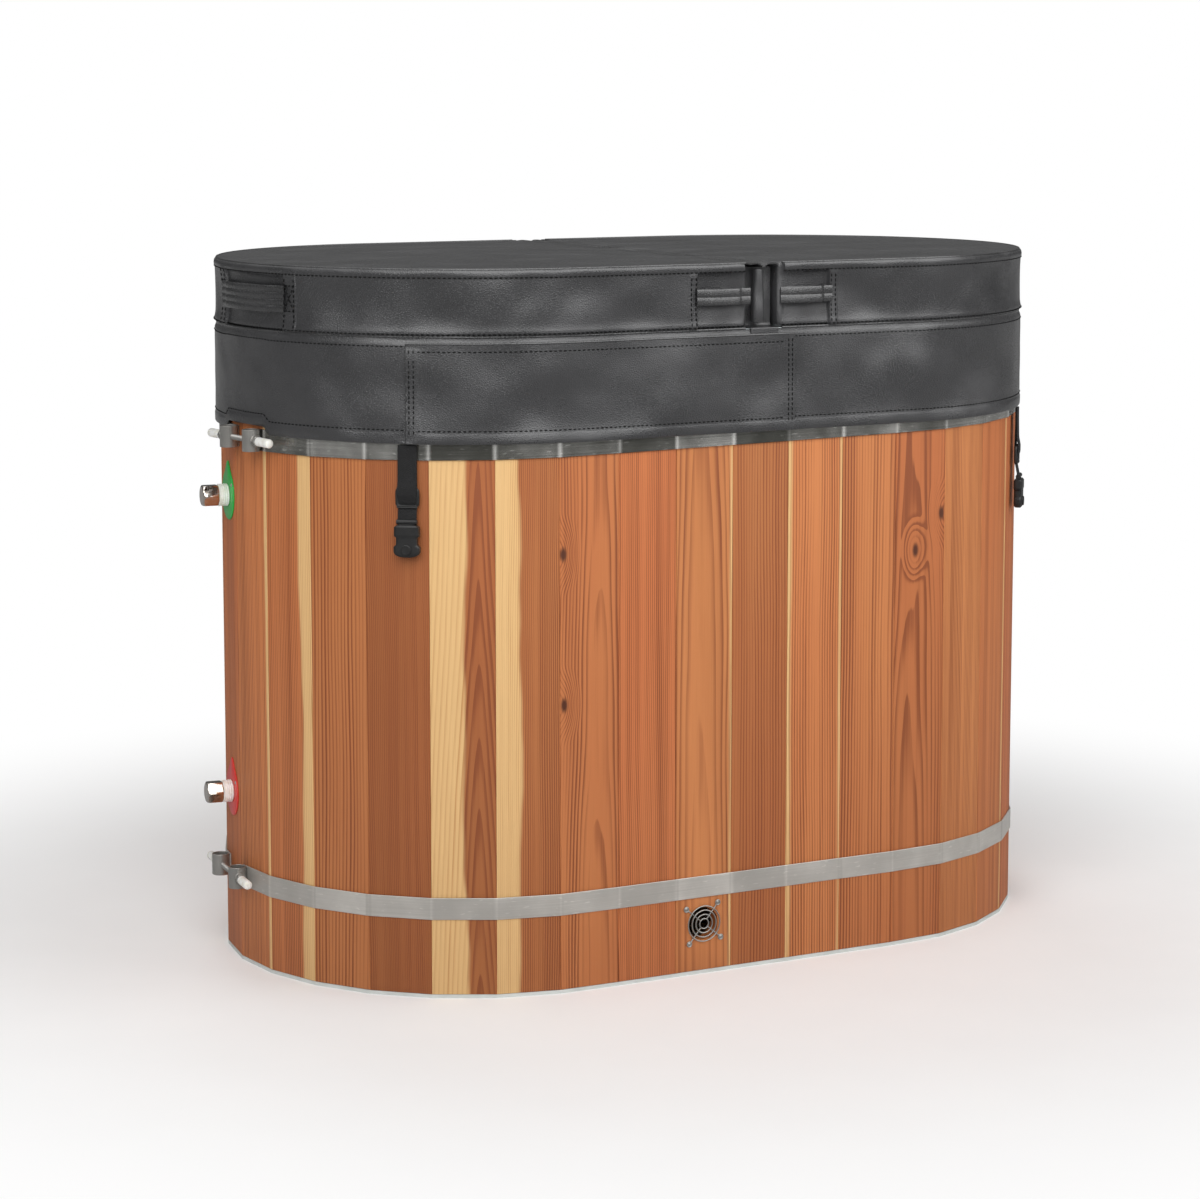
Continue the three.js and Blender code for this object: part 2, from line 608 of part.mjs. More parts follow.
function spigot(z) {
  const sagitta = END_RADIUS * (1 - Math.cos(PITCH / END_RADIUS / 2));
  const innerFace = sagitta - linerInset(z) - LINER_WALL;
  const flange = innerFace - INNER_FLANGE_RADIUS ** 2 / (2 * (END_RADIUS - linerInset(z))) - SEAL_ROOM;
  const profile = [
    [BORE_RADIUS, flange - INNER_FLANGE],
    [INNER_FLANGE_RADIUS, flange - INNER_FLANGE],
    [INNER_FLANGE_RADIUS, flange],
    [SHANK_RADIUS, flange],
    [SHANK_RADIUS, COLLAR_FOOT],
    [COLLAR_RADIUS, COLLAR_FOOT],
    [COLLAR_RADIUS, SPIGOT_FOOT],
    [SPIGOT_RADIUS, SPIGOT_FOOT],
    [SPIGOT_RADIUS, SPIGOT_FOOT + SPIGOT_LENGTH],
    [BORE_RADIUS, SPIGOT_FOOT + SPIGOT_LENGTH],
    [BORE_RADIUS, flange - INNER_FLANGE],
  ];
  return closedBody(outwardLathe(profile, 20));
}

function screwCap() {
  const hexRadius = CAP_ACROSS / Math.sqrt(3);
  const foot = SPIGOT_FOOT + CLEARANCE;
  const hex = new THREE.CylinderGeometry(hexRadius, hexRadius, CAP_LENGTH, 6);
  hex.translate(0, -foot - CAP_LENGTH / 2, 0);
  const dome = outwardLathe([
    [0, foot - CUT_PAST], [hexRadius, foot - CUT_PAST], [hexRadius, foot + CAP_LENGTH - CAP_DOME.edge],
    [CAP_DOME.radius, foot + CAP_LENGTH - CAP_DOME.shoulder], [CAP_DOME.flat, foot + CAP_LENGTH],
    [0, foot + CAP_LENGTH],
  ], 24);
  const bore = SPIGOT_RADIUS + HOLE_CLEARANCE / 2;
  const depth = SPIGOT_LENGTH + HOLE_CLEARANCE;
  const start = foot - CUT_PAST;
  const socket = outwardLathe([[0, start], [bore, start], [bore, foot + depth], [0, foot + depth]], 24);
  return cut(keep(hex, dome), socket);
}

for (const [name, z] of Object.entries(fittingHeights)) {
  const group = wallGroup(fittingPlace, z);
  add(`${name}_plate`, pointedPlate(), name === 'upper' ? GREEN_PLATE : RED_PLATE, group);
  add(`${name}_spigot`, spigot(z), WHITE_PLASTIC, group);
  add(`${name}_cap`, screwCap(), CHROME, group);
}

// Vent guard: wire rings on four spokes, held by a screw eye at each corner

function ventGuard() {
  const wire = (radius, segments) => new THREE.TorusGeometry(radius, GUARD_WIRE, 5, segments);
  const spokeDepth = -1.5 * GUARD_WIRE; // spokes sink into the rings they carry
  const reach = GUARD_SCREW_SQUARE / Math.SQRT2;
  const rings = GUARD_RINGS.map((radius) => wire(radius, 24));
  const corners = [45, 135, 225, 315].flatMap((degrees) => {
    const turn = THREE.MathUtils.degToRad(degrees);
    const inner = GUARD_RINGS[0];
    const outer = reach - GUARD_EYE;
    const spoke = new THREE.CylinderGeometry(GUARD_WIRE, GUARD_WIRE, outer - inner, 6);
    const middle = (inner + outer) / 2;
    spoke.rotateZ(turn - Math.PI / 2).translate(middle * Math.cos(turn), middle * Math.sin(turn), spokeDepth);
    const eye = wire(GUARD_EYE, 10).translate(reach * Math.cos(turn), reach * Math.sin(turn), spokeDepth);
    return [spoke, eye, screwHead(reach, turn, spokeDepth)];
  });
  const guard = join(...rings, ...corners);
  const stand = CLEARANCE + 2.5 * GUARD_WIRE;
  return guard.rotateZ(THREE.MathUtils.degToRad(VENT_TURN)).rotateX(Math.PI / 2).translate(0, -stand, 0);
}

function screwHead(reach, turn, depth) {
  const profile = [
    [0, -GUARD_WIRE], [GUARD_EYE, -GUARD_WIRE], [GUARD_EYE, GUARD_WIRE],
    [GUARD_SCREW.crown, GUARD_SCREW.rise], [0, GUARD_SCREW.top],
  ];
  const points = profile.map(([radius, z]) => new THREE.Vector2(radius, z));
  const head = new THREE.LatheGeometry(points, 10).rotateX(Math.PI / 2);
  return head.translate(reach * Math.cos(turn), reach * Math.sin(turn), depth);
}

add('vent_guard', ventGuard(), STEEL, wallGroup(ventPlace, VENT_Z));

// Cover pads: one crowned cushion, cut into two halves at the fold

function cushion() {
  const waist = PAD_FOOT + PAD_THICKNESS / 2;
  return loft([
    [PAD_OVERHANG - PAD_EDGE, PAD_FOOT],
    [PAD_OVERHANG - PAD_EDGE_MIDDLE, PAD_FOOT + PAD_EDGE_MIDDLE],
    [PAD_OVERHANG, PAD_FOOT + PAD_EDGE],
    [PAD_OVERHANG - PAD_DRAW_IN, waist],
    [PAD_OVERHANG, PAD_RIM - PAD_EDGE],
    [PAD_OVERHANG - PAD_EDGE_MIDDLE, PAD_RIM - PAD_EDGE_MIDDLE],
    [PAD_OVERHANG - PAD_EDGE, PAD_RIM],
    [-PAD_SLOPE, PAD_RIM + (PAD_CROWN * 3) / 4],
    [-PAD_FLAT, PAD_RIM + PAD_CROWN],
  ]);
}

const sides = { left: -1, right: 1 };
const foldEdge = (side, gap) => FOLD_X + (side * gap) / 2;

function pad(side) {
  const near = foldEdge(side, FOLD_GAP);
  const far = side * FAR;
  return keep(cushion(), box([Math.min(near, far), -FAR, 0], [Math.max(near, far), FAR, FAR]));
}

for (const [name, side] of Object.entries(sides)) add(`${name}_pad`, pad(side), VINYL);

// Hinge gusset: a strip across the fold, level with the pads, with a tab down each side

function gusset() {
  const half = FOLD_GAP / 2 - GUSSET_SIDE_GAP;
  const reach = END_RADIUS + PAD_OVERHANG - PAD_EDGE;
  const [west, east] = [FOLD_X - half, FOLD_X + half];
  const top = box([west, -reach, PAD_RIM - GUSSET_THICKNESS], [east, reach, PAD_RIM]);
  const tabs = [-1, 1].map((face) => {
    const [a, b] = [face * reach, face * (reach - GUSSET_THICKNESS)].sort((p, q) => p - q);
    return box([west, a, PAD_FOOT + PAD_EDGE], [east, b, PAD_RIM]);
  });
  return join(top, ...tabs);
}

add('hinge_gusset', gusset(), VINYL);

// Skirt: one strip round each half, and a flap over the fold at the front and the back

const BACK = 2 * TIP; // distance along the wall to the back's middle

function skirt(side) {
  const edge = foldEdge(side, SKIRT_SPLIT);
  const wall = strip(edge, side * BACK - edge, SKIRT_INNER, SKIRT_OUTER, HEM_Z, SKIRT_TOP - HEM_Z);
  const relief = clampPlaces(UPPER_CLAMP);
  const reach = UPPER_CLAMP.half + CLAMP_RELIEF.margin;
  const lugTop = UPPER_HOOP_Z + HOOP_HEIGHT + HOOP_TILT * relief.x;
  const deep = 4 * LUG_RADIUS;
  const notch = box([-reach, -deep, HEM_Z - CUT_PAST], [reach, deep, lugTop + CLAMP_RELIEF.clear]);
  return side < 0 ? cut(wall, placed(notch, relief, 0)) : wall;
}

function flap(face) {
  const strap = HALF + END_RADIUS * THREE.MathUtils.degToRad(LEFT_STRAP_TURN);
  const far = FOLD_X + FLAP_REACH;
  const [from, to] = face > 0 ? [-strap, far] : [strap - BACK, -BACK - far];
  const inner = SKIRT_OUTER + CLEARANCE;
  return strip(from, to, inner, inner + SKIRT_THICKNESS, HEM_Z, SKIRT_TOP - FLAP_TOP_INSET - HEM_Z);
}

for (const [name, side] of Object.entries(sides)) add(`${name}_skirt`, skirt(side), VINYL);
add('front_flap', flap(1), VINYL);
add('back_flap', flap(-1), VINYL);

// Handles: sewn straps that bow out of the pad's side

function handle(from, to, width) {
  const seat = HANDLE_SEAT / Math.abs(to - from);
  const bow = (u) => {
    const free = Math.min(Math.max((u - seat) / (1 - 2 * seat), 0), 1);
    return PAD_OVERHANG + CLEARANCE + HANDLE_BOW * Math.min(1, HANDLE_RISE * Math.sin(Math.PI * free));
  };
  const middle = PAD_FOOT + PAD_THICKNESS / 2;
  return bowedStrip(from, to, bow, middle - width / 2, width);
}

function bowedStrip(from, to, bow, z, height) {
  const line = Array.from({ length: HANDLE_STEPS + 1 }, (_, i) => i / HANDLE_STEPS);
  const point = (u, thickness) => {
    const place = station(from + (to - from) * u, bow(u) + thickness);
    return new THREE.Vector2(place.x, place.y);
  };
  const inner = line.map((u) => point(u, 0));
  const outer = line.map((u) => point(u, HANDLE_THICKNESS)).reverse();
  return slab([...inner, ...outer], z, height);
}

for (const [name, side] of Object.entries(sides)) {
  const near = foldEdge(side, FOLD_GAP + 2 * SIDE_HANDLE.edge);
  const far = near + side * SIDE_HANDLE.length;
  const middle = side * (TIP - END_HANDLE.ahead);
  add(`${name}_front_handle`, handle(near, far, SIDE_HANDLE.width), VINYL);
  add(`${name}_back_handle`, handle(side * BACK - near, side * BACK - far, SIDE_HANDLE.width), VINYL);
  const ends = [-1, 1].map((end) => middle + end * END_HANDLE.half);
  add(`${name}_end_handle`, handle(...ends, END_HANDLE.width), VINYL);
}

// Hold-down straps: webbing with a tri-glide and a tongue, and a locking buckle on the tongue

const STRAP_OUT = (SKIRT_INNER + SKIRT_OUTER) / 2;
const STRAP_PIVOT = HEM_Z - CLEARANCE - WEBBING_THICKNESS / 2;
const BUCKLE_WIDTH = WEBBING_WIDTH + 2 * BUCKLE.side;
const TONGUE_WIDTH = WEBBING_WIDTH - 2 * TONGUE.inset;

function strapWebbing() {
  // The upper end is rounded about the pivot, so that the strap swings clear of the hem.
  const half = WEBBING_THICKNESS / 2;
  const yokeFoot = -BUCKLE.drop;
  const flat = box([-WEBBING_WIDTH / 2, -half, yokeFoot + TONGUE.root], [WEBBING_WIDTH / 2, half, 0]);
  const root = new THREE.CylinderGeometry(half, half, WEBBING_WIDTH, 12).rotateZ(Math.PI / 2);
  const glideWidth = WEBBING_WIDTH + 2 * GLIDE.side;
  const glideShape = roundedOutline(glideWidth, GLIDE.height, GLIDE.corner);
  const window = roundedOutline(glideWidth - 2 * GLIDE.bar, GLIDE.height - 2 * GLIDE.bar, GLIDE.corner / 2);
  glideShape.holes.push(new THREE.Path(window.getPoints(3)));
  const glide = faced(glideShape, GLIDE.thickness, -GLIDE.thickness / 2);
  glide.translate(0, 0, -GLIDE.drop - GLIDE.height / 2);
  const yokeShape = roundedOutline(BUCKLE_WIDTH - 2 * YOKE.inset, YOKE.height, YOKE.corner);
  const yokeThickness = TONGUE.thickness + 2 * YOKE.proud;
  const yoke = faced(yokeShape, yokeThickness, BUCKLE_OUT - yokeThickness / 2);
  yoke.translate(0, 0, yokeFoot + YOKE.height / 2);
  const prong = roundedOutline(TONGUE_WIDTH, TONGUE.depth + TONGUE.root, TONGUE.corner);
  const tongue = faced(prong, TONGUE.thickness, BUCKLE_OUT - TONGUE.thickness / 2);
  tongue.translate(0, 0, yokeFoot + (TONGUE.root - TONGUE.depth) / 2);
  return join(flat, root, glide, yoke, tongue);
}

function lockingBuckle() {
  const top = -BUCKLE.drop - CLEARANCE;
  const middle = top - BUCKLE.height / 2;
  const half = BUCKLE.thickness / 2;
  const topWidth = BUCKLE_WIDTH - BUCKLE.taper;
  const outlineShape = roundedOutline(BUCKLE_WIDTH, BUCKLE.height, BUCKLE.corner, topWidth);
  const shell = faced(outlineShape, BUCKLE.thickness, -half, 3).translate(0, 0, middle);
  const socketSide = TONGUE_WIDTH / 2 + HOLE_CLEARANCE;
  const socketHalf = TONGUE.thickness / 2 + HOLE_CLEARANCE;
  const socketFoot = top - TONGUE.depth - 2 * HOLE_CLEARANCE;
  const socket = box([-socketSide, -socketHalf, socketFoot], [socketSide, socketHalf, top + CUT_PAST]);
  const windows = [-1, 1].map((side) => {
    const sill = side * (BUCKLE_WIDTH / 2 - BUCKLE_WINDOW.depth);
    const [a, b] = [sill, side * BUCKLE_WIDTH].sort((p, q) => p - q);
    const [low, high] = [-1, 1].map((end) => middle + (end * BUCKLE_WINDOW.height) / 2);
    return box([a, -socketHalf, low], [b, socketHalf, high]);
  });
  const [sunk, proud] = [half - CUT_PAST, half + LOCK_PROUD];
  const lock = outwardLathe([[0, sunk], [LOCK_RADIUS, sunk], [LOCK_RADIUS, proud], [0, proud]], 12);
  lock.translate(0, 0, top - LOCK_DROP);
  return cut(join(shell, lock), socket, ...windows).translate(0, -BUCKLE_OUT, 0);
}

const strapTurns = {
  front_left: -LEFT_STRAP_TURN,
  back_left: LEFT_STRAP_TURN - 180,
  front_right: RIGHT_STRAP_TURN,
  back_right: 180 - RIGHT_STRAP_TURN,
};
for (const [name, degrees] of Object.entries(strapTurns)) {
  const side = Math.sign(degrees);
  const turn = THREE.MathUtils.degToRad(Math.abs(degrees));
  const group = wallGroup(station(side * (HALF + END_RADIUS * turn), STRAP_OUT), STRAP_PIVOT);
  add(`${name}_strap`, strapWebbing(), WEBBING, group);
  add(`${name}_buckle`, lockingBuckle(), BLACK_PLASTIC, group);
}

export default tub;
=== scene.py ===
# %% [markdown]
# # A cedar cold plunge tub
# The tub is a ring of upright cedar boards held by two steel hoops, with a moulded liner inside and a padded vinyl
# cover on top. The engineering model gives every piece's place. This file gives each one its finished surface.

# %% Load the frame
import json
import math

import bpy
import numpy as np
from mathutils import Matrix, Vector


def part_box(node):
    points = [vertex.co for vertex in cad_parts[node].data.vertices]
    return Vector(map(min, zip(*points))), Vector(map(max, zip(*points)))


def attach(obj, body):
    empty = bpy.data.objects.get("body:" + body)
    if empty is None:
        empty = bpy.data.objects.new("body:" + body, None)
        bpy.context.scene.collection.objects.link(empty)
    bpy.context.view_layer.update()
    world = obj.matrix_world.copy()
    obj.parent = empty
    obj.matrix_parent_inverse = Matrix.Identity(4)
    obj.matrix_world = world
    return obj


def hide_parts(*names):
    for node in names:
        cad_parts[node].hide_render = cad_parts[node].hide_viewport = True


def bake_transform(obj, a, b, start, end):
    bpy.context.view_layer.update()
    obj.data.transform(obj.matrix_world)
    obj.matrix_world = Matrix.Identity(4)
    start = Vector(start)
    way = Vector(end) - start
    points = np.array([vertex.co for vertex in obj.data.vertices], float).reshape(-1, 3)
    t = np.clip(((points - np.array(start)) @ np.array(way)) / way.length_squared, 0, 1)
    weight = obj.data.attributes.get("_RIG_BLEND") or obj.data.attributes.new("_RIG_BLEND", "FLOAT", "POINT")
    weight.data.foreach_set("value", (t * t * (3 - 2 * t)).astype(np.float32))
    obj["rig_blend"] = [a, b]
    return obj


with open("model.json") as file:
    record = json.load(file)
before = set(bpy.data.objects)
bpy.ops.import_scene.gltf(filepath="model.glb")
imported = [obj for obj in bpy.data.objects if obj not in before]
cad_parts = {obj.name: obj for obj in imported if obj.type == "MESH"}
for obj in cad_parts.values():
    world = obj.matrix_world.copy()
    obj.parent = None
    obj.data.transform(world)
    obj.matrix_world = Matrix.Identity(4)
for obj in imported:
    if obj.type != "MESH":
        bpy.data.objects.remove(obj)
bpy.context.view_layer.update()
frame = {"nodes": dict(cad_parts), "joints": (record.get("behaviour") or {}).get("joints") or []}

joints = {joint["name"]: joint for joint in frame["joints"]}

# %% [markdown]
# ## The camera
# The picture is taken from in front of the left end, a little above the cover. A constraint could aim the camera, but
# a place and two angles can be fitted to a picture. The lens is long, so upright lines stay nearly parallel.

# %% Camera
CAMERA_PLACE = (-2.2084, -4.1238, 1.2293)
CAMERA_TURN = -27.678  # degrees about Z
CAMERA_PITCH = 7.085  # degrees below level
CAMERA_LENS = 95.79  # millimetres
CAMERA_SHIFT = -0.0996  # the tub's place in the frame
FARTHEST = 100  # metres


def add_object(name, data):
    """A new object of the scene, at the origin."""
    made = bpy.data.objects.new(name, data)
    bpy.context.scene.collection.objects.link(made)
    return made


lens = bpy.data.cameras.new("camera")
lens.lens, lens.shift_y, lens.clip_end = CAMERA_LENS, CAMERA_SHIFT, FARTHEST
camera = add_object("camera", lens)
camera.location = CAMERA_PLACE
camera.rotation_euler = (math.radians(90 - CAMERA_PITCH), 0, math.radians(CAMERA_TURN))
bpy.context.scene.camera = camera
print(f"camera {math.hypot(*CAMERA_PLACE[:2]):.2f} m from the tub's middle")

# %% [markdown]
# ## Surfaces from arrays
# Most pieces are a profile carried along a path, so their points form a grid. Blender's modifiers could make some of
# them, but whole arrays of points give every shape in the same way. One function makes the faces of a grid.

# %% Grids of points
MM = 0.001


def skin(points, around=True, along=False, caps=True, uv=None, **marks):
    """Faces of a grid of points, rows by columns: each face joins four neighbours.

    around closes the columns, along closes the rows, and caps fills the first and last row. uv holds a pair for each
    point, and the marks are numbers kept on every point. A closed grid is turned so that its faces point out."""
    rows, columns = points.shape[:2]
    i = np.arange(rows if along else rows - 1)[:, None]
    j = np.arange(columns if around else columns - 1)[None, :]
    lower, upper = i * columns, (i + 1) % rows * columns
    right = (j + 1) % columns
    quads = np.stack([lower + j, lower + right, upper + right, upper + j], axis=-1).reshape(-1, 4)
    flat = points.reshape(-1, 3)
    corners = flat[quads] - flat.mean(axis=0)
    volume = np.einsum("ij,ij->", corners[:, 0], np.cross(corners[:, 1], corners[:, 2]))
    volume += np.einsum("ij,ij->", corners[:, 0], np.cross(corners[:, 2], corners[:, 3]))
    faces = quads.tolist()
    if caps and not along:
        faces += [list(range(columns))[::-1], list(range((rows - 1) * columns, rows * columns))]
    if volume < 0:
        faces = [face[::-1] for face in faces]
    pairs = np.zeros((len(flat), 2)) if uv is None else np.broadcast_to(uv, points.shape[:2] + (2,)).reshape(-1, 2)
    values = {key: np.broadcast_to(value, points.shape[:2]).ravel() for key, value in marks.items()}
    return {"points": flat, "faces": faces, "uv": pairs, "marks": values}


print(f"a closed grid of 3 by 4 points has {len(skin(np.zeros((3, 4, 3)))['faces'])} faces")

# %% [markdown]
# ## Pieces on bodies
# A piece is one or more grids with a finish. It hangs on a body of the model, so that it moves with the right joint,
# and it may stand for a piece of the model, which is then hidden.

# %% Pieces


def piece(name, skins, finish, body, replaces=(), crease=35):
    """Joins grids into one piece with a finish, which rides on a body and stands for the nodes it replaces."""
    starts = np.cumsum([0] + [len(part["points"]) for part in skins])
    points = np.concatenate([part["points"] for part in skins])
    faces = [[index + start for index in face] for part, start in zip(skins, starts) for face in part["faces"]]
    mesh = bpy.data.meshes.new(name)
    mesh.from_pydata(points, [], faces)
    mesh.update()
    corners = np.zeros(len(mesh.loops), int)
    mesh.loops.foreach_get("vertex_index", corners)
    pairs = np.concatenate([part["uv"] for part in skins])
    mesh.uv_layers.new(name="UVMap").data.foreach_set("uv", pairs[corners].ravel())
    for key in skins[0]["marks"]:
        values = np.concatenate([part["marks"][key] for part in skins])
        mesh.attributes.new(key, "FLOAT", "POINT").data.foreach_set("value", values)
    mesh.shade_smooth()
    mesh.set_sharp_from_angle(angle=math.radians(crease))
    mesh.materials.append(finish)
    made = add_object(name, mesh)
    if replaces:
        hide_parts(*replaces)
    if body:
        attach(made, body)
    return made


# %% [markdown]
# ## Shader expressions
# A finish is a tree of nodes, and could be wired by hand. Wrapping a socket in a small class lets the tree be written
# as ordinary sums, and one method adds every other kind of node.

# %% Wrapped sockets


class Wire:
    """A node's output, with methods that add the next node behind it."""

    def __init__(self, tree, socket=None):
        self.tree, self.socket = tree, socket

    def node(self, kind, settings=None, sockets=None, out=0):
        """Adds a node: its settings first, then the values or wires of its sockets."""
        node = self.tree.nodes.new(kind)
        for key, value in (settings or {}).items():
            setattr(node, key, value)
        for key, value in (sockets or {}).items():
            if isinstance(value, Wire):
                self.tree.links.new(value.socket, node.inputs[key])
            else:
                node.inputs[key].default_value = value
        return Wire(self.tree, node.outputs[out])

    def math(self, operation, *values):
        return self.node("ShaderNodeMath", {"operation": operation}, dict(enumerate(values)))

    def step(self, low, high):
        """0 below low, 1 above high, with a smooth rise between them. A falling step has low above high."""
        sockets = {"Value": self, "From Min": low, "From Max": high}
        return self.node("ShaderNodeMapRange", {"interpolation_type": "SMOOTHSTEP"}, sockets)

    def mix(self, first, second):
        """The first colour where this is 0 and the second where it is 1."""
        colours = {6: first, 7: second, 0: self}
        return self.node("ShaderNodeMix", {"data_type": "RGBA"}, colours, out=2)

    def noise(self, place, scale=1.0, detail=2.0):
        return self.node("ShaderNodeTexNoise", {}, {"Vector": place, "Scale": scale, "Detail": detail})

    def bump(self, height, distance, strength=1.0, normal=None):
        sockets = {"Height": height, "Distance": distance, "Strength": strength}
        if normal:
            sockets["Normal"] = normal
        return self.node("ShaderNodeBump", {}, sockets)

    def place(self):
        """The point on the piece, in metres."""
        return self.node("ShaderNodeTexCoord", out=3)

    def mark(self, name):
        return self.node("ShaderNodeAttribute", {"attribute_name": name}, out=2)

    def outputs(self, *names):
        """The named outputs of this wire's node."""
        return [Wire(self.tree, self.socket.node.outputs[name]) for name in names]

    def parts(self):
        """The three numbers of a vector."""
        return self.node("ShaderNodeSeparateXYZ", {}, {0: self}).outputs(0, 1, 2)

    def map(self):
        """The place on the piece's own flat map, as two numbers in metres."""
        return self.node("ShaderNodeUVMap", {"uv_map": "UVMap"}).parts()[:2]

    def vector(self, x=0.0, y=0.0, z=0.0):
        return self.node("ShaderNodeCombineXYZ", {}, {0: x, 1: y, 2: z})


# %% Arithmetic
# each sign adds a Math node, and its reflected form, for a number on the left, has the two values the other way round
SIGNS = {"add": "ADD", "sub": "SUBTRACT", "mul": "MULTIPLY", "truediv": "DIVIDE", "pow": "POWER"}
for sign, operation in SIGNS.items():
    setattr(Wire, f"__{sign}__", lambda self, other, name=operation: self.math(name, self, other))
    setattr(Wire, f"__r{sign}__", lambda self, other, name=operation: self.math(name, other, self))
print(f"wires can be joined by {len(SIGNS)} signs")

# %% [markdown]
# ## Finishes
# Every finish starts from the same shader, and numbers that hold all over are set on its sockets. Plain finishes
# differ only in two tints and a noise that moves between them, so one function makes them all.

# %% Finishes


def colour(red, green, blue):
    """A colour as Blender writes it, with full alpha."""
    return (red, green, blue, 1.0)


def new_finish(name, constants):
    """A material, a wire to start its expressions from, and a function that feeds its shader's sockets."""
    material = bpy.data.materials.new(name)
    material.use_nodes = True
    shader = material.node_tree.nodes["Principled BSDF"]
    for key, value in constants.items():
        shader.inputs[key].default_value = value

    def feed(base=None, rough=None, normal=None, coat=None):
        for socket, wire in {"Base Color": base, "Roughness": rough, "Normal": normal, "Coat Weight": coat}.items():
            if wire:
                material.node_tree.links.new(wire.socket, shader.inputs[socket])

    return material, Wire(material.node_tree), feed


def mottled_finish(name, tints, noise, steps, rough, bump, coat=None, stretch=None, constants=None):
    """One noise, of a scale and a detail, moves a finish between two tints over its steps.

    rough and coat are each a number and how much the noise adds to it. bump is a distance and a strength."""
    material, start, feed = new_finish(name, constants or {})
    place = start.place()
    if stretch:
        place = start.node("ShaderNodeMapping", {}, {0: place, 3: stretch})
    patch = start.noise(place, *noise)
    feed(patch.step(*steps).mix(*tints), rough[0] + patch * rough[1], start.bump(patch, *bump),
         coat and coat[0] + patch * coat[1])
    return material


# %% [markdown]
# ## The wall's outline
# Seen from above, the wall is a long round-ended ring. A place on it is given by s, the distance along the ring from
# the middle of the front. The boards are flat, so the ring of seams is a polygon whose corners lie on the smooth
# ring.

# %% Places along the wall
END_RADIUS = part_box("base_sheet")[1].y
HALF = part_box("right_pad")[1].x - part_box("right_pad")[1].y  # half of a straight side
TIP = HALF + END_RADIUS * math.pi / 2  # from the front's middle to an end's tip
GIRTH = 4 * TIP
BACK = 2 * TIP
STAVES = 37
PITCH = GIRTH / STAVES
FIRST_SEAM = -TIP - 6 * MM


def unit(vectors):
    """Vectors brought to the length of 1."""
    return vectors / np.linalg.norm(vectors, axis=-1, keepdims=True)


def beside(heading):
    """The directions square to headings in plan, on their right."""
    return np.stack([heading[..., 1], -heading[..., 0]], axis=-1)


def wall(s, out=0.0):
    """Points of the smooth ring and their outward directions: two straight sides joined by two half circles."""
    s = np.asarray(s, float)
    side, distance = np.where(s < 0, -1.0, 1.0), np.abs(s)
    bend = np.clip((distance - HALF) / END_RADIUS, 0, math.pi)
    straight = np.minimum(distance, HALF) - np.maximum(distance - HALF - math.pi * END_RADIUS, 0)
    outward = np.stack([side * np.sin(bend), -np.cos(bend)], axis=-1)
    middle = np.stack([side * straight, np.zeros_like(s)], axis=-1)
    return middle + outward * (END_RADIUS + np.asarray(out, float))[..., None], outward


def around(s):
    """s brought back to within half a turn of the front's middle."""
    return (np.asarray(s, float) + BACK) % GIRTH - BACK


print(f"girth {GIRTH:.3f} m, board pitch {PITCH / MM:.1f} mm")

# %% Places on the boards


def seam_corners(out):
    """All stave corners, moved out square to both boards that meet there.

    The move is the sum of the two boards' normals, times twice the offset over the square of that sum's length."""
    ring = wall(around(FIRST_SEAM + PITCH * np.arange(STAVES)))[0]
    normal = beside(unit(np.roll(ring, -1, axis=0) - ring))
    both = np.roll(normal, 1, axis=0) + normal
    return ring + both * (2 * out / np.sum(both * both, axis=1))[:, None]


def board_place(s, out=0.0):
    """A point at s on the flat face of a board, with the board's heading and its outward direction."""
    seams = (s - FIRST_SEAM) / PITCH
    first = math.floor(seams)
    corners = seam_corners(out)
    start, end = corners[first % STAVES], corners[(first + 1) % STAVES]
    heading = unit(end - start)
    return start + (end - start) * (seams - first), heading, beside(heading)


def local(origin, heading, outward):
    """A function that puts points of (along, out, up) into the model, from an origin on the wall."""
    axes = np.array([[*heading, 0], [*outward, 0], [0, 0, 1]], float)
    return lambda points: np.asarray(points, float) @ axes + np.asarray(origin, float)


face_wide = np.linalg.norm(np.diff(seam_corners(0.0)[:2], axis=0))
print(f"a board's face is {face_wide / MM:.1f} mm wide at the left end")

# %% [markdown]
# ## Cedar
# Cedar boards are sawn from trunks, so their grain is a cut through cone-shaped growth rings. The distance from the
# trunk's centre line, which lies behind or beside each board, gives the ring at every point of its face. A centre far
# to one side leaves straight lines, and one behind the board leaves nested arches. Each board keeps its own centre,
# slope, tone and pale sapwood edges as marks on its points, so that one finish serves all of them.

# %% Cedar finish
EARLY_WOOD = colour(0.62, 0.238, 0.080)
LATE_WOOD = colour(0.235, 0.062, 0.019)
DARK_EARLY = colour(0.31, 0.100, 0.030)
PALE_SAPWOOD = colour(0.74, 0.48, 0.215)
SAPWOOD_LINE = colour(0.52, 0.25, 0.085)
KNOT_BROWN = colour(0.06, 0.016, 0.007)
RED_TINT = colour(0.56, 0.165, 0.056)
FIBRE_BROWN = colour(0.20, 0.07, 0.028)
KNOT_RADIUS, KNOT_REACH, KNOT_LIFT = (0.0085, 0.0025), (0.035, 0.0), 0.016  # the rings bulge round a knot
SLOW_WAVE, QUICK_WAVE = 0.02, 0.0022  # how far the rings stray, in metres


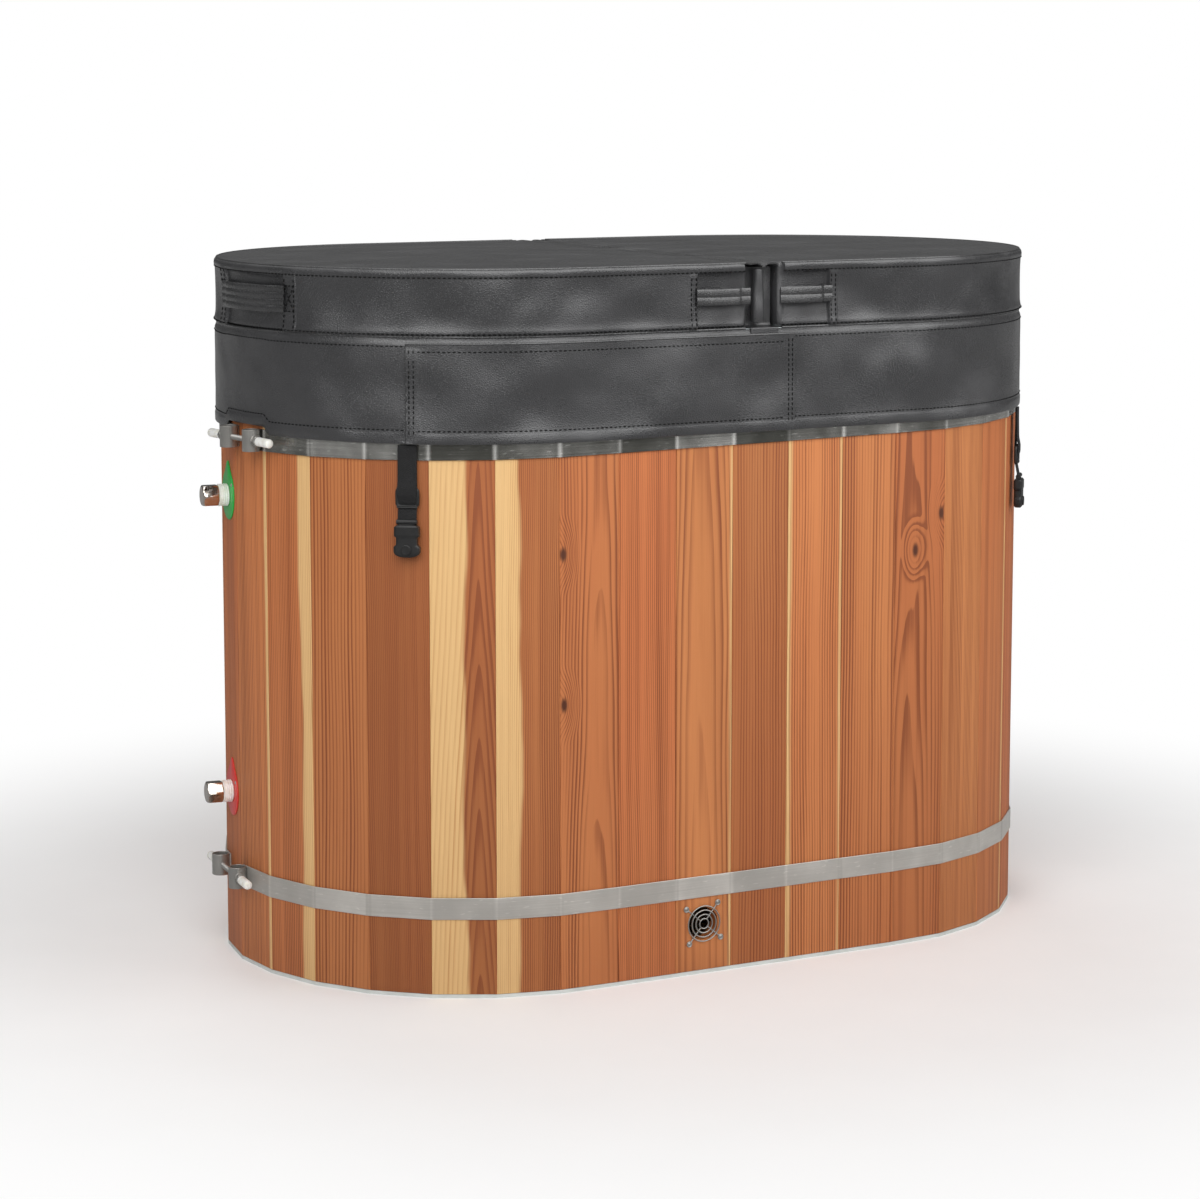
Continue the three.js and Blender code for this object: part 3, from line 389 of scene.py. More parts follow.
def cedar_finish():
    """Growth rings are counted from the trunk's centre; late wood darkens the end of each ring."""
    material, start, feed = new_finish("cedar", {"Specular IOR Level": 0.35})
    u, v = start.map()
    seed = start.mark("seed")
    gaps = [(((u - start.mark(f"{knot}_u")) * 1.2) ** 2 + ((v - start.mark(f"{knot}_v")) * 0.6) ** 2) ** 0.5
            for knot in ("knot", "bud")]
    knot_gap = start.math("MINIMUM", *gaps)
    knot = knot_gap.step(*KNOT_RADIUS)
    slow = start.noise(start.vector(u * 9, v * 1.3, seed)) - 0.5
    quick = start.noise(start.vector(u * 55, v * 3.5, seed + 7)) - 0.5
    ring = ((u - start.mark("pith_u")) ** 2 + start.mark("pith_depth") ** 2) ** 0.5
    ring = ring + v * start.mark("slope") + slow * SLOW_WAVE + quick * QUICK_WAVE
    ring = ring + knot_gap.step(*KNOT_REACH) * KNOT_LIFT
    count = ring / start.mark("ring_width")
    turn = start.math("FRACT", count)
    late = turn.step(0.25, 0.88) * turn.step(1.0, 0.93)
    weight = start.noise(start.vector(count * 0.31, v * 0.5, seed), detail=1.0)
    fibre = start.noise(start.vector(u * 820, v * 11, seed), detail=3.0)
    streak = start.noise(start.vector(u * 95, v * 0.9, seed + 3))
    late = late * (weight * 1.5 - 0.12) * (fibre * 0.7 + 0.6)
    early = (start.mark("tone") + slow * 0.9).mix(EARLY_WOOD, DARK_EARLY)
    early = (start.mark("redness") + slow * 0.9).mix(early, RED_TINT)
    heart = (late * 1.2 + (0.50 - streak) * 1.5).step(0.0, 0.9).mix(early, LATE_WOOD)
    wander = start.noise(start.vector(v * 2.3, seed, 0.0), detail=3.0) - 0.5
    edge = quick * 0.004 + (wander + slow * 0.4) * start.mark("wander")
    sap_left = (u - start.mark("sap_left") + edge).step(0.004, -0.003)
    sap_right = (u - start.mark("sap_right") + edge).step(-0.003, 0.003)
    sap = start.math("MAXIMUM", sap_left, sap_right)
    pale = (late * 0.75 + (0.5 - streak) * 0.5).step(0.0, 1.0).mix(PALE_SAPWOOD, SAPWOOD_LINE)
    face = knot.mix(sap.mix(heart, pale), KNOT_BROWN)
    feed((fibre * 0.22).mix(face, FIBRE_BROWN), 0.52 + fibre * 0.12 - late * 0.06,
         start.bump(fibre * 0.6 + late * 0.7 - knot, 0.0004, 0.6))
    return material


cedar = cedar_finish()
print(f"the cedar finish has {len(cedar.node_tree.nodes)} nodes")

# %% [markdown]
# ## Board by board
# No two boards have the same grain. Those that show in the picture get the tones and pale edges seen there, and the
# others are drawn from a seeded generator in the same range.

# %% Marks of the boards
FAR_AWAY = 9.0  # metres: the place of a knot or a sapwood edge that a board does not have
WANDER = 1.3  # how far a sapwood edge strays, in shares of its width
# tone 0 pale to 1 dark; redness; sapwood left and right in millimetres; trunk centre beside and behind the face in
# millimetres; slope of the rings up the board; ring width in millimetres; two knots' places across and up
PLAIN = {"tone": 0.3, "redness": 0.2, "sap": (0, 0), "pith": (-140, 20), "slope": 0.004, "ring": 3.4, "knots": ()}
SEEN_BOARDS = {
    36: {"tone": 0.35, "redness": 0.75},
    0: {"tone": 0.0, "redness": 0.45, "sap": (0, 6), "ring": 4.2},
    1: {"tone": 0.30, "redness": 0.45, "sap": (0, 22), "pith": (-90, 10)},
    2: {"tone": 0.55, "redness": 0.1, "ring": 5.2, "pith": (170, 40)},
    3: {"tone": 0.95, "redness": 0.0, "ring": 2.6, "pith": (-60, 25), "slope": 0.012},
    4: {"tone": 0.85, "redness": 0.05, "sap": (44, 0), "pith": (66, 6), "slope": 0.05, "ring": 6.5},
    5: {"tone": 0.66, "redness": 0.1, "sap": (33, 0), "pith": (150, 30), "ring": 2.8},
    6: {"tone": 0.45, "redness": 0.35, "pith": (60, 45), "slope": 0.01, "knots": ((5, 603), (6, 398))},
    7: {"tone": 0.25, "redness": 0.75, "ring": 3.0},
    8: {"tone": 0.30, "redness": 0.0, "sap": (0, 4), "pith": (40, 60), "slope": 0.008, "ring": 4.0},
    9: {"tone": 0.72, "redness": 0.15, "ring": 4.6, "pith": (190, 10)},
    10: {"tone": 0.12, "redness": 0.35, "sap": (5, 4), "ring": 4.4},
    11: {"tone": 0.40, "redness": 0.35, "ring": 5.0, "pith": (130, 20)},
    12: {"tone": 0.70, "redness": 0.40, "pith": (30, 70), "slope": 0.006, "knots": ((82, 621), (36, 571))},
    13: {"tone": 0.16, "redness": 0.0, "ring": 3.0},
    14: {"tone": 0.30, "redness": 0.45, "sap": (0, 5)},
    15: {"tone": 0.55, "redness": 0.75},
}


def board_marks(index, width, random):
    """The numbers that the cedar finish reads on one board, in metres."""
    drawn = {
        "tone": random.uniform(0.1, 0.75), "redness": random.uniform(0, 0.7), "ring": random.uniform(2.6, 5.2),
        "sap": (0, random.choice([0, 0, 0, 6, 24])), "pith": (random.choice([-130, 45, 160]), random.uniform(8, 60)),
        "slope": random.uniform(0.003, 0.02),
    }
    board = {**PLAIN, **(SEEN_BOARDS.get(index) or drawn)}
    knot, bud = [*board["knots"], (FAR_AWAY / MM, 0), (FAR_AWAY / MM, 0)][:2]
    return {
        "seed": index * 3.7, "tone": board["tone"], "redness": board["redness"], "slope": board["slope"],
        "pith_u": board["pith"][0] * MM, "pith_depth": board["pith"][1] * MM, "ring_width": board["ring"] * MM,
        "sap_left": board["sap"][0] * MM or -FAR_AWAY,
        "sap_right": width - board["sap"][1] * MM if board["sap"][1] else FAR_AWAY,
        "knot_u": knot[0] * MM, "knot_v": knot[1] * MM, "bud_u": bud[0] * MM, "bud_v": bud[1] * MM,
        "wander": max(board["sap"]) * WANDER * MM,
    }


print(f"{len(SEEN_BOARDS)} boards follow the picture, {STAVES - len(SEEN_BOARDS)} are drawn by chance")

# %% [markdown]
# ## Staves
# A stave is one cross-section carried straight up: a flat outer face with two eased edges, two mitred sides and a
# flat back. A box with a bevel would come close, but the mitre changes from board to board, so each section is worked
# out from the corners of the ring.

# %% Staves
BOARD_THICK = 19 * MM
EASED_EDGE = 1.1 * MM
HALF_SEAM = 0.15 * MM
END_EASE = 0.6 * MM
BOARD_FOOT, BOARD_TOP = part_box("staves_01")[0].z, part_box("staves_01")[1].z


def full_turn(steps):
    """Angles of a whole circle, without the last one, which is the first again."""
    return np.linspace(0, 2 * math.pi, steps, endpoint=False)


def quarter_turn(steps):
    """Angles from 0 to a right angle."""
    return np.linspace(0, math.pi / 2, steps)


def stave(index, random):
    """One board: quarter circles ease its outer edges, and each side leans by half the turn to the next board."""
    outer, inner = seam_corners(0.0), seam_corners(-BOARD_THICK)
    start, end = outer[index], outer[(index + 1) % STAVES]
    width = float(np.linalg.norm(end - start))
    heading = (end - start) / width
    lean = [abs(float((inner[k] - outer[k]) @ heading)) for k in (index, (index + 1) % STAVES)]
    turn = quarter_turn(4)
    left = np.stack([HALF_SEAM + EASED_EDGE * (1 - np.cos(turn)), EASED_EDGE * (1 - np.sin(turn))], axis=1)
    right = np.stack([width - left[::-1, 0], left[::-1, 1]], axis=1)
    back = np.array([[width - HALF_SEAM - lean[1], BOARD_THICK], [HALF_SEAM + lean[0], BOARD_THICK]])
    section = np.concatenate([left, right, back])
    heights = np.array([BOARD_FOOT, BOARD_FOOT + END_EASE, BOARD_TOP - END_EASE, BOARD_TOP])
    sink = np.array([END_EASE, 0, 0, END_EASE])
    grid = np.zeros((len(heights), len(section), 3))
    grid[..., 0] = section[:, 0]
    grid[..., 1] = -np.maximum(section[:, 1], sink[:, None])
    grid[..., 2] = heights[:, None]
    place = local((*start, 0), heading, beside(heading))
    return skin(place(grid), uv=grid[..., [0, 2]], **board_marks(index, width, random))


chance = np.random.default_rng(5)
boards = []
for index in range(STAVES):
    pair = f"staves_{index - index % 2 + 1:02d}"
    boards.append(piece(f"stave_{index + 1:02d}", [stave(index, chance)], cedar, "tub", [pair], crease=50))
print(f"{len(boards)} staves of about {PITCH / MM:.1f} mm")

# %% [markdown]
# ## Holes in the boards
# One board has a round hole behind the vent guard, and another has two for the pipe fittings. A hole through a flat
# board is a plain cut by a cylinder. The cut leaves new points, so the board's marks are written again after it.

# %% Drilled boards
VENT_BOARD, FITTING_BOARD = 8, 36
VENT_RADIUS, SHANK_HOLE = 23 * MM, 14.3 * MM
DRILL_DEPTH = 3 * BOARD_THICK


def drilled(board, centre, direction, radius, depth):
    """Cuts a round hole through a board, square to its face."""
    turn = full_turn(48)
    side = np.array([direction[1], -direction[0], 0])
    ring = np.outer(np.cos(turn), side) + np.outer(np.sin(turn), (0, 0, 1))
    axis = np.array([*direction, 0]) * depth
    tool = skin(np.stack([centre - axis + ring * radius, centre + axis + ring * radius]))
    mesh = bpy.data.meshes.new("drill")
    mesh.from_pydata(tool["points"], [], tool["faces"])
    drill = add_object("drill", mesh)
    cut = board.modifiers.new("hole", "BOOLEAN")
    cut.object, cut.solver = drill, "EXACT"
    bpy.context.view_layer.objects.active = board
    bpy.ops.object.modifier_apply(modifier="hole")
    bpy.data.objects.remove(drill)


def remark(board, index):
    """Writes a drilled board's marks, and each point's place across and up its face, again."""
    mesh = board.data
    for mark in (a for a in mesh.attributes if a.domain == "POINT" and a.data_type == "FLOAT"):
        mark.data.foreach_set("value", np.full(len(mesh.vertices), mark.data[0].value))
    start, end = seam_corners(0.0)[[index, (index + 1) % STAVES]]
    points, corners = np.zeros(len(mesh.vertices) * 3), np.zeros(len(mesh.loops), int)
    mesh.vertices.foreach_get("co", points)
    mesh.loops.foreach_get("vertex_index", corners)
    points = points.reshape(-1, 3)
    across = (points[:, :2] - start) @ (end - start) / np.linalg.norm(end - start)
    mesh.uv_layers[0].data.foreach_set("uv", np.stack([across, points[:, 2]], axis=1)[corners].ravel())


vent_point, vent_heading, vent_outward = board_place(FIRST_SEAM + (VENT_BOARD + 0.5) * PITCH)
vent_low, vent_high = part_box("vent_guard")
vent_middle = np.array([*vent_point, ((vent_low + vent_high) / 2).z])
drilled(boards[VENT_BOARD], vent_middle, vent_outward, VENT_RADIUS, DRILL_DEPTH)
remark(boards[VENT_BOARD], VENT_BOARD)
fitting_joints = {name: joints[f"{name}_cap_turn"] for name in ("upper", "lower")}
for joint in fitting_joints.values():
    drilled(boards[FITTING_BOARD], np.array(joint["pos_m"]), joint["axis"][:2], SHANK_HOLE, DRILL_DEPTH)
remark(boards[FITTING_BOARD], FITTING_BOARD)
print(f"vent hole {vent_middle[2] / MM:.0f} mm above the floor")

# %% [markdown]
# ## Turned and drawn shapes
# Rods, nuts, sleeves and caps are profiles turned about an axis. Wires and welts are a circle carried along a line.
# Both give a grid of points, so the same faces serve them.

# %% Turned profiles and tubes


def turned(profile, origin, axis, shape=None, segments=40, along=False):
    """A profile of (distance along the axis, radius) turned about the axis; shape may change the radius by angle."""
    axis = np.asarray(axis, float) / np.linalg.norm(axis)
    side = unit(np.cross(axis, (1.0, 0, 0) if abs(axis[2]) > 0.9 else (0, 0, 1.0)))
    turn = full_turn(segments)
    ring = np.outer(np.cos(turn), side) + np.outer(np.sin(turn), np.cross(axis, side))
    profile = np.asarray(profile, float)
    distance, radius = profile[:, :1], np.repeat(profile[:, 1:], segments, axis=1)
    if shape:
        radius = shape(radius, turn, distance)
    points = np.asarray(origin, float) + distance[..., None] * axis + radius[..., None] * ring
    uv = np.stack([np.broadcast_to(distance, radius.shape), radius * turn], axis=-1)
    return skin(points, along=along, caps=not along, uv=uv)


def hexagon(across):
    """Keeps a turned radius inside a hexagon: half the width over the cosine of the angle from the nearest flat."""
    return lambda radius, turn, distance: np.minimum(
        radius, across / 2 / np.cos(turn % (math.pi / 3) - math.pi / 6))


def thread(depth, pitch):
    """Cuts a V thread into a turned radius: a zigzag of the distance in pitches less the share of a turn."""
    return lambda radius, turn, distance: radius - depth * np.abs(
        2 * ((distance / pitch - turn / (2 * math.pi)) % 1.0) - 1)


def bevelled(length, radius, bevel, slope=1.0):
    """The profile of a disc with bevelled rims: bevel comes off the radius, and slope times bevel off the length."""
    return [(0, radius - bevel), (slope * bevel, radius), (length - slope * bevel, radius), (length, radius - bevel)]


def tube(path, radius, up, closed=False, sides=8):
    """A circle carried along a line that lies square to up."""
    path = np.asarray(path, float)
    heading = np.roll(path, -1, axis=0) - np.roll(path, 1, axis=0) if closed else np.gradient(path, axis=0)
    side = unit(np.cross(heading, up))
    rise = unit(np.cross(side, heading))
    turn = full_turn(sides)
    ring = np.cos(turn)[None, :, None] * side[:, None] + np.sin(turn)[None, :, None] * rise[:, None]
    return skin(path[:, None] + ring * radius, along=closed, caps=not closed)


print(f"a turned bar has {len(turned([(0, 1), (1, 1)], (0, 0, 0), (0, 0, 1))['faces'])} faces")

# %% [markdown]
# ## Steel
# The hoops are rolled strip: fine lines run along it, and handling leaves cloudy patches. The lower hoop is dull and
# the upper one is bright, polished steel. The upper one's dark colour is a painted reflection of a dark room, and both
# hoops carry painted glints where they bend, strongest on the upper one.

# %% Steel finish


def steel_finish(name, dull, bright, rough, metal):
    """Stretched noise gives the rolling lines; a mark of painted glints and reflection moves dull steel to bright."""
    material, start, feed = new_finish(name, {"Metallic": metal})
    u, v = start.map()
    line = start.noise(start.vector(u * 5, v * 1100, 0.0), detail=3.0)
    cloud = start.noise(start.place(), 19.0, 3.0)
    scratch = start.noise(start.vector(u * 60, v * 300, 4.0), detail=1.0).step(0.66, 0.72)
    # painted light: the band's shine mark is a painted reflection on each flat and painted glints at the bends; the
    # lines, clouds and scratches are the steel's own
    shine = start.mark("shine") + (line - 0.5) * 0.5 + (cloud - 0.5) * 0.7 + scratch * 0.2
    feed(shine.step(-0.1, 1.0).mix(dull, bright), rough + line * 0.10 + cloud.step(0.4, 0.8) * 0.10,
         start.bump(line + scratch, 0.0001, 0.5))
    return material


dull_steel = steel_finish("dull_steel", colour(0.42, 0.40, 0.37), colour(0.78, 0.75, 0.70), 0.30, 0.45)
# the upper hoop's dark tint is a painted reflection of a dark room; its bright tint shows at the painted glints
bright_steel = steel_finish("bright_steel", colour(0.10, 0.10, 0.088), colour(0.95, 0.94, 0.90), 0.16, 0.75)
bare_steel = steel_finish("bare_steel", colour(0.34, 0.33, 0.31), colour(0.80, 0.79, 0.76), 0.24, 0.7)
print(f"each steel finish has {len(bare_steel.node_tree.nodes)} nodes")

# %% [markdown]
# ## Hoops
# A hoop is a flat band that lies on the boards and bends at each seam. A short curve rounds every bend. Its two ends
# are welded to tubes, and a threaded rod through both tubes draws the hoop tight. A band scaled from a ring would
# float over the flats of the boards, so its line is worked out from the boards themselves.

# %% The bands' lines
BAND_HEIGHT, BAND_THICK, BAND_GAP, BAND_EASE = 30 * MM, 2 * MM, 0.3 * MM, 0.5 * MM
BAND_BEND, BEND_STEPS = 5 * MM, 5
FLAT_PAINTED_REFLECTION, BEND_PAINTED_GLINT = (0.0, 0.45), (0.6, 1.0, 0.5)  # painted reflection drawn for each flat; painted glints across each bend
LUG_RADIUS, LUG_WALL, LUG_WELD, BAND_TAIL = 12.5 * MM, 2 * MM, 0.8 * MM, 5 * MM
# height at the tub's middle, rise along X, the clamp's middle ahead of the left tip, half the gap between its lugs,
# the strength of the painted glints at the bends, and the steel
HOOPS = {
    "lower": {"z": 109 * MM, "tilt": 0.0, "ahead": -32 * MM, "half": 41 * MM, "glint": 0.4, "steel": dull_steel},
    "upper": {"z": 738 * MM, "tilt": 0.0115, "ahead": 35 * MM, "half": 33 * MM, "glint": 1.0, "steel": bright_steel},
}


def curve(a, b, c, t):
    """A quadratic curve that leaves a towards b and comes to c from b."""
    return (1 - t) ** 2 * a + 2 * t * (1 - t) * b + t * t * c


def band_line(start, end, out):
    """The band's line on the boards: a quadratic curve at each corner from a little before it to a little after it."""
    first, last = math.ceil((start - FIRST_SEAM) / PITCH), math.ceil((end - FIRST_SEAM) / PITCH)
    corners = seam_corners(out)[np.arange(first, last) % STAVES]
    line = np.concatenate([[board_place(start, out)[0]], corners, [board_place(end, out)[0]]])
    heading = unit(np.diff(line, axis=0))
    t = np.linspace(0, 1, BEND_STEPS)[None, :, None]
    before, after = corners - heading[:-1] * BAND_BEND, corners + heading[1:] * BAND_BEND
    bends = curve(before[:, None], corners[:, None], after[:, None], t)
    return np.concatenate([line[:1], bends.reshape(-1, 2), line[-1:]])


print(f"a band bends at {STAVES} seams")

# %% Bands and lugs


def lengths(line):
    """The distance along a line to each of its points."""
    return np.concatenate([[0], np.cumsum(np.linalg.norm(np.diff(line, axis=0), axis=1))])


def band(hoop, random):
    """A flat section with eased edges carried along the band's line, and lifted by the hoop's tilt."""
    middle = BAND_GAP + BAND_THICK / 2
    start, end = (-TIP + hoop["ahead"] + turn * hoop["half"] for turn in (1, -1))
    line = band_line(start - BAND_TAIL, end + BAND_TAIL + GIRTH, middle)
    outward = beside(unit(np.gradient(line, axis=0)))
    ease, half, tall = BAND_EASE, BAND_THICK / 2, BAND_HEIGHT
    section = np.array([[half, ease], [half, tall - ease], [half - ease, tall], [ease - half, tall],
                        [-half, tall - ease], [-half, ease], [ease - half, 0], [half - ease, 0]])
    grid = np.zeros((len(line), len(section), 3))
    grid[..., :2] = line[:, None] + outward[:, None] * section[:, :1]
    grid[..., 2] = hoop["z"] + hoop["tilt"] * line[:, :1] + section[:, 1]
    uv = np.stack(np.broadcast_arrays(lengths(line)[:, None], section[:, 1]), axis=-1)
    # painted light: a random painted reflection on each flat, and painted glints across each bend
    flats = random.uniform(*FLAT_PAINTED_REFLECTION, (len(line) - 2) // BEND_STEPS + 1)
    glint = np.array(BEND_PAINTED_GLINT) * hoop["glint"] * random.uniform(0.25, 1.0, (len(flats) - 1, 1))
    bends = np.column_stack([flats[:-1], glint, flats[1:]])
    shine = np.concatenate([flats[:1], bends.ravel(), flats[-1:]])
    return skin(grid, uv=uv, shine=shine[:, None])


def lug_feet(hoop):
    """The lowest middles of a hoop's two tubes, at the clamp's rear and front."""
    feet = []
    for turn in (-1, 1):
        point, _, outward = board_place(-TIP + hoop["ahead"] + turn * hoop["half"], BAND_GAP + BAND_THICK)
        centre = point + outward * (LUG_RADIUS - LUG_WELD)
        feet.append([*centre, hoop["z"] + hoop["tilt"] * centre[0]])
    return np.array(feet)


def lug(foot):
    """A short upright tube with eased rims: a closed profile turned about its axis."""
    ease, tall, outer, inner = BAND_EASE, BAND_HEIGHT, LUG_RADIUS, LUG_RADIUS - LUG_WALL
    profile = [(ease, outer), (tall - ease, outer), (tall, outer - ease), (tall, inner + ease), (tall - ease, inner),
               (ease, inner), (0, inner + ease), (0, outer - ease)]
    return turned(profile, foot, (0, 0, 1), segments=48, along=True)


for name, hoop in HOOPS.items():
    piece(f"{name}_hoop", [band(hoop, np.random.default_rng(3))], hoop["steel"], "tub", [f"{name}_hoop"])
    piece(f"{name}_hoop_lugs", [lug(foot) for foot in lug_feet(hoop)], bare_steel, "tub")
    print(f"{name} hoop {hoop['z'] / MM:.0f} mm up")

# %% [markdown]
# ## Rods, nuts and sleeves
# The rod's thread is a zigzag wound along it. A washer and a hexagonal nut bear on each tube, and a soft white sleeve
# covers each end of the rod, so that nobody is scratched by it. A thread painted by bump would lose its toothed
# outline.

# %% Clamp rods
ROD_RADIUS, THREAD_PITCH, THREAD_DEPTH = 4 * MM, 1.25 * MM, 0.55 * MM
WASHER_RADIUS, WASHER_THICK, WASHER_BEVEL = 8.5 * MM, 1.6 * MM, 0.3 * MM
NUT_ACROSS, NUT_LENGTH, NUT_CHAMFER = 13 * MM, 6.5 * MM, 0.9 * MM
SLEEVE_RADIUS, SLEEVE_LENGTH, SLEEVE_PAST, SLEEVE_EASE = 6.2 * MM, 34 * MM, 5 * MM, 0.3 * MM
TOUCH = 0.3 * MM  # air between pieces that touch
POLE = 0.4 * MM  # radius that closes a turned profile on its axis


def clamp_parts(hoop):
    """A threaded rod with its washers and nuts, and the two sleeves over its ends."""
    feet = lug_feet(hoop)
    height = hoop["z"] + hoop["tilt"] * feet[:, 0].mean() + BAND_HEIGHT / 2
    middle = np.array([*feet.mean(axis=0)[:2], height])
    apart = (feet[1] - feet[0]) * [1, 1, 0]
    along = unit(apart)
    washer = np.linalg.norm(apart) / 2 + LUG_RADIUS + TOUCH
    nut = washer + WASHER_THICK
    reach = nut - TOUCH + NUT_LENGTH + SLEEVE_LENGTH - SLEEVE_PAST
    steps = np.arange(-reach, reach, THREAD_PITCH / 5)
    shaft = np.stack([steps, np.full_like(steps, ROD_RADIUS)], axis=1)
    metal, sleeves = [turned(shaft, middle, along, thread(THREAD_DEPTH, THREAD_PITCH), 16)], []
    disc = bevelled(WASHER_THICK, WASHER_RADIUS, WASHER_BEVEL)
    block = bevelled(NUT_LENGTH, NUT_ACROSS / math.sqrt(3), NUT_CHAMFER, 0.5)
    turn, bore, ceiling = quarter_turn(6), ROD_RADIUS + TOUCH, SLEEVE_LENGTH - SLEEVE_PAST + TOUCH
    dome = np.stack([SLEEVE_LENGTH + SLEEVE_RADIUS * (0.5 * np.sin(turn) - 0.5),
                     SLEEVE_RADIUS * (0.12 + 0.88 * np.cos(turn))], axis=1)
    sock = [(ceiling, POLE), (ceiling, bore), (0, bore), (0, SLEEVE_RADIUS - SLEEVE_EASE),
            (SLEEVE_EASE, SLEEVE_RADIUS), *dome.tolist()]
    for side in (-1, 1):
        axis = side * along
        metal.append(turned(disc, middle + axis * washer, axis))
        metal.append(turned(block, middle + axis * nut, axis, hexagon(NUT_ACROSS), 48))
        sleeves.append(turned(sock, middle + axis * (nut + NUT_LENGTH + TOUCH), axis))
    return metal, sleeves


def soft_white(name, tint, rough):
    """A slightly see-through white plastic with a waxy skin and faint yellowed patches."""
    constants = {"Subsurface Weight": 0.25, "Subsurface Radius": (0.004, 0.004, 0.003), "Subsurface Scale": 1.0}
    return mottled_finish(name, (tint, colour(0.70, 0.68, 0.60)), (90.0, 3.0), (0.35, 0.75), (rough, 0.2),
                          (0.0004, 0.4), constants=constants)


sleeve_white = soft_white("sleeve_white", colour(0.84, 0.84, 0.81), 0.25)
for name, hoop in HOOPS.items():
    metal, sleeves = clamp_parts(hoop)
    piece(f"{name}_hoop_rod", metal, bare_steel, "tub", [f"{name}_hoop_rod"])
    for end, part in zip(("rear", "front"), sleeves):
        node = f"{name}_hoop_sleeve_{end}"
        piece(node, [part], sleeve_white, "tub", [node])
print(f"{len(HOOPS)} clamps with rods of {2 * ROD_RADIUS / MM:.0f} mm")

# %% [markdown]
# ## Plates of the pipe fittings
# Behind each fitting lies a pointed plastic plate, green above and red below. It could be cut from a flat curve, but
# an outline drawn in towards its hole in a few rows gives the rounded edge at once.

# %% Plates
PLATE_RADIUS, PLATE_TOP, PLATE_THICK, PLATE_EASE = 35 * MM, 48 * MM, 1.5 * MM, 0.5 * MM
PLATE_NECK, PLATE_TIP, PLATE_POINT = (14.4 * MM, 33 * MM), 7.2 * MM, 5.4 * MM  # the tab's waist and rounded end


def bezier(*points, steps=10):
    """A quadratic curve through three control points, without its last point."""
    return curve(*(np.array(point, float) for point in points), np.linspace(0, 1, steps, endpoint=False)[:, None])


def plate(place):
    """A disc that runs up into a rounded point: its outline, drawn in towards a round hole by a share for each row."""
    turn = np.linspace(math.pi * 0.75, math.pi * 2.25, 64, endpoint=False)
    disc = PLATE_RADIUS * np.stack([np.cos(turn), np.sin(turn)], axis=1)
    foot, other = PLATE_RADIUS * math.sqrt(0.5), np.array([-1, 1])
    neck, tip, rise = PLATE_NECK, (PLATE_TIP, PLATE_TOP - PLATE_POINT), PLATE_TOP + PLATE_POINT
    tab = [bezier((foot, foot), neck, tip), bezier(tip, (0, rise), tip * other),
           bezier(tip * other, neck * other, (-foot, foot))]
    outline = np.concatenate([disc, *tab])
    hole = SHANK_HOLE * unit(outline)
    front = TOUCH + PLATE_THICK
    share = np.array([0, 0, 0.97, 0.99, 1, 1])[:, None]
    out = np.array([TOUCH, front, front, front - PLATE_EASE / 2, front - PLATE_EASE, TOUCH])[:, None]
    grid = np.zeros((len(share), len(outline), 3))
    grid[..., [0, 2]] = hole + (outline - hole) * share[..., None]
    grid[..., 1] = out
    return skin(place(grid), along=True, caps=False)


def plate_finish(name, fresh, worn):
    """Coloured plastic, scuffed in patches that are paler and less glossy."""
    return mottled_finish(name, (fresh, worn), (140.0, 4.0), (0.45, 0.85), (0.28, 0.25), (0.0002, 0.4),
                          coat=(0.4, -0.3), constants={"Coat Roughness": 0.15})


plates = {"upper": plate_finish("green_plate", colour(0.010, 0.36, 0.045), colour(0.03, 0.50, 0.10)),
          "lower": plate_finish("red_plate", colour(0.60, 0.022, 0.016), colour(0.75, 0.07, 0.05))}
print(f"plates {(PLATE_RADIUS + PLATE_TOP) / MM:.0f} mm tall")

# %% [markdown]
# ## Spigots and caps
# A white spigot passes through the wall. Its collar is wrapped in thread tape, which shows as low rings, and a
# polished hexagonal cap is screwed on its end. The cap is bored to clear the spigot, so both are real closed shapes.

# %% Spigots, caps and screws
COLLAR_RADIUS, COLLAR_LENGTH, COLLAR_EASE = 15.5 * MM, 14 * MM, 1 * MM
TAPE_HIGH, TAPE_RINGS = 0.35 * MM, 2.2  # radians of the tape's wave for each millimetre
SPIGOT_RADIUS, SPIGOT_LENGTH, BORE, SHANK_CLEAR = 11 * MM, 17 * MM, 8 * MM, 0.8 * MM
INNER_END, INNER_FLANGE, INNER_FLANGE_RADIUS = -58 * MM, 5 * MM, 23 * MM
CAP_ACROSS, CAP_LENGTH, CAP_CLEAR, CAP_ROOF = 28 * MM, 23 * MM, 0.4 * MM, 0.8 * MM
CAP_DOME, CAP_ROUND, CAP_END = 4 * MM, 5 * MM, 3 * MM  # the dome's height, how far it draws in, the end's radius
COLLAR_FOOT = PLATE_THICK + 2 * TOUCH
CAP_FOOT = COLLAR_FOOT + COLLAR_LENGTH + TOUCH


def spigot(origin, axis):
    """A closed turned section: a flange inside the tub, the shank, the taped collar and the threaded end."""
    foot, end, ease = COLLAR_FOOT, CAP_FOOT - TOUCH, COLLAR_EASE
    inside = INNER_END + INNER_FLANGE
    shank = SHANK_HOLE - SHANK_CLEAR
    tape = np.linspace(foot + ease, end - ease, 12)
    wound = COLLAR_RADIUS + TAPE_HIGH * np.sin(tape / MM * TAPE_RINGS)
    profile = [(INNER_END, BORE), (INNER_END, INNER_FLANGE_RADIUS - ease), (INNER_END + ease, INNER_FLANGE_RADIUS),
               (inside, INNER_FLANGE_RADIUS), (inside, shank), (foot, shank), (foot, COLLAR_RADIUS - ease),
               *np.stack([tape, wound], axis=1).tolist(), (end, COLLAR_RADIUS - ease), (end, SPIGOT_RADIUS),
               (end + SPIGOT_LENGTH, SPIGOT_RADIUS), (end + SPIGOT_LENGTH, BORE)]
    return turned(profile, origin, axis, along=True, segments=48)


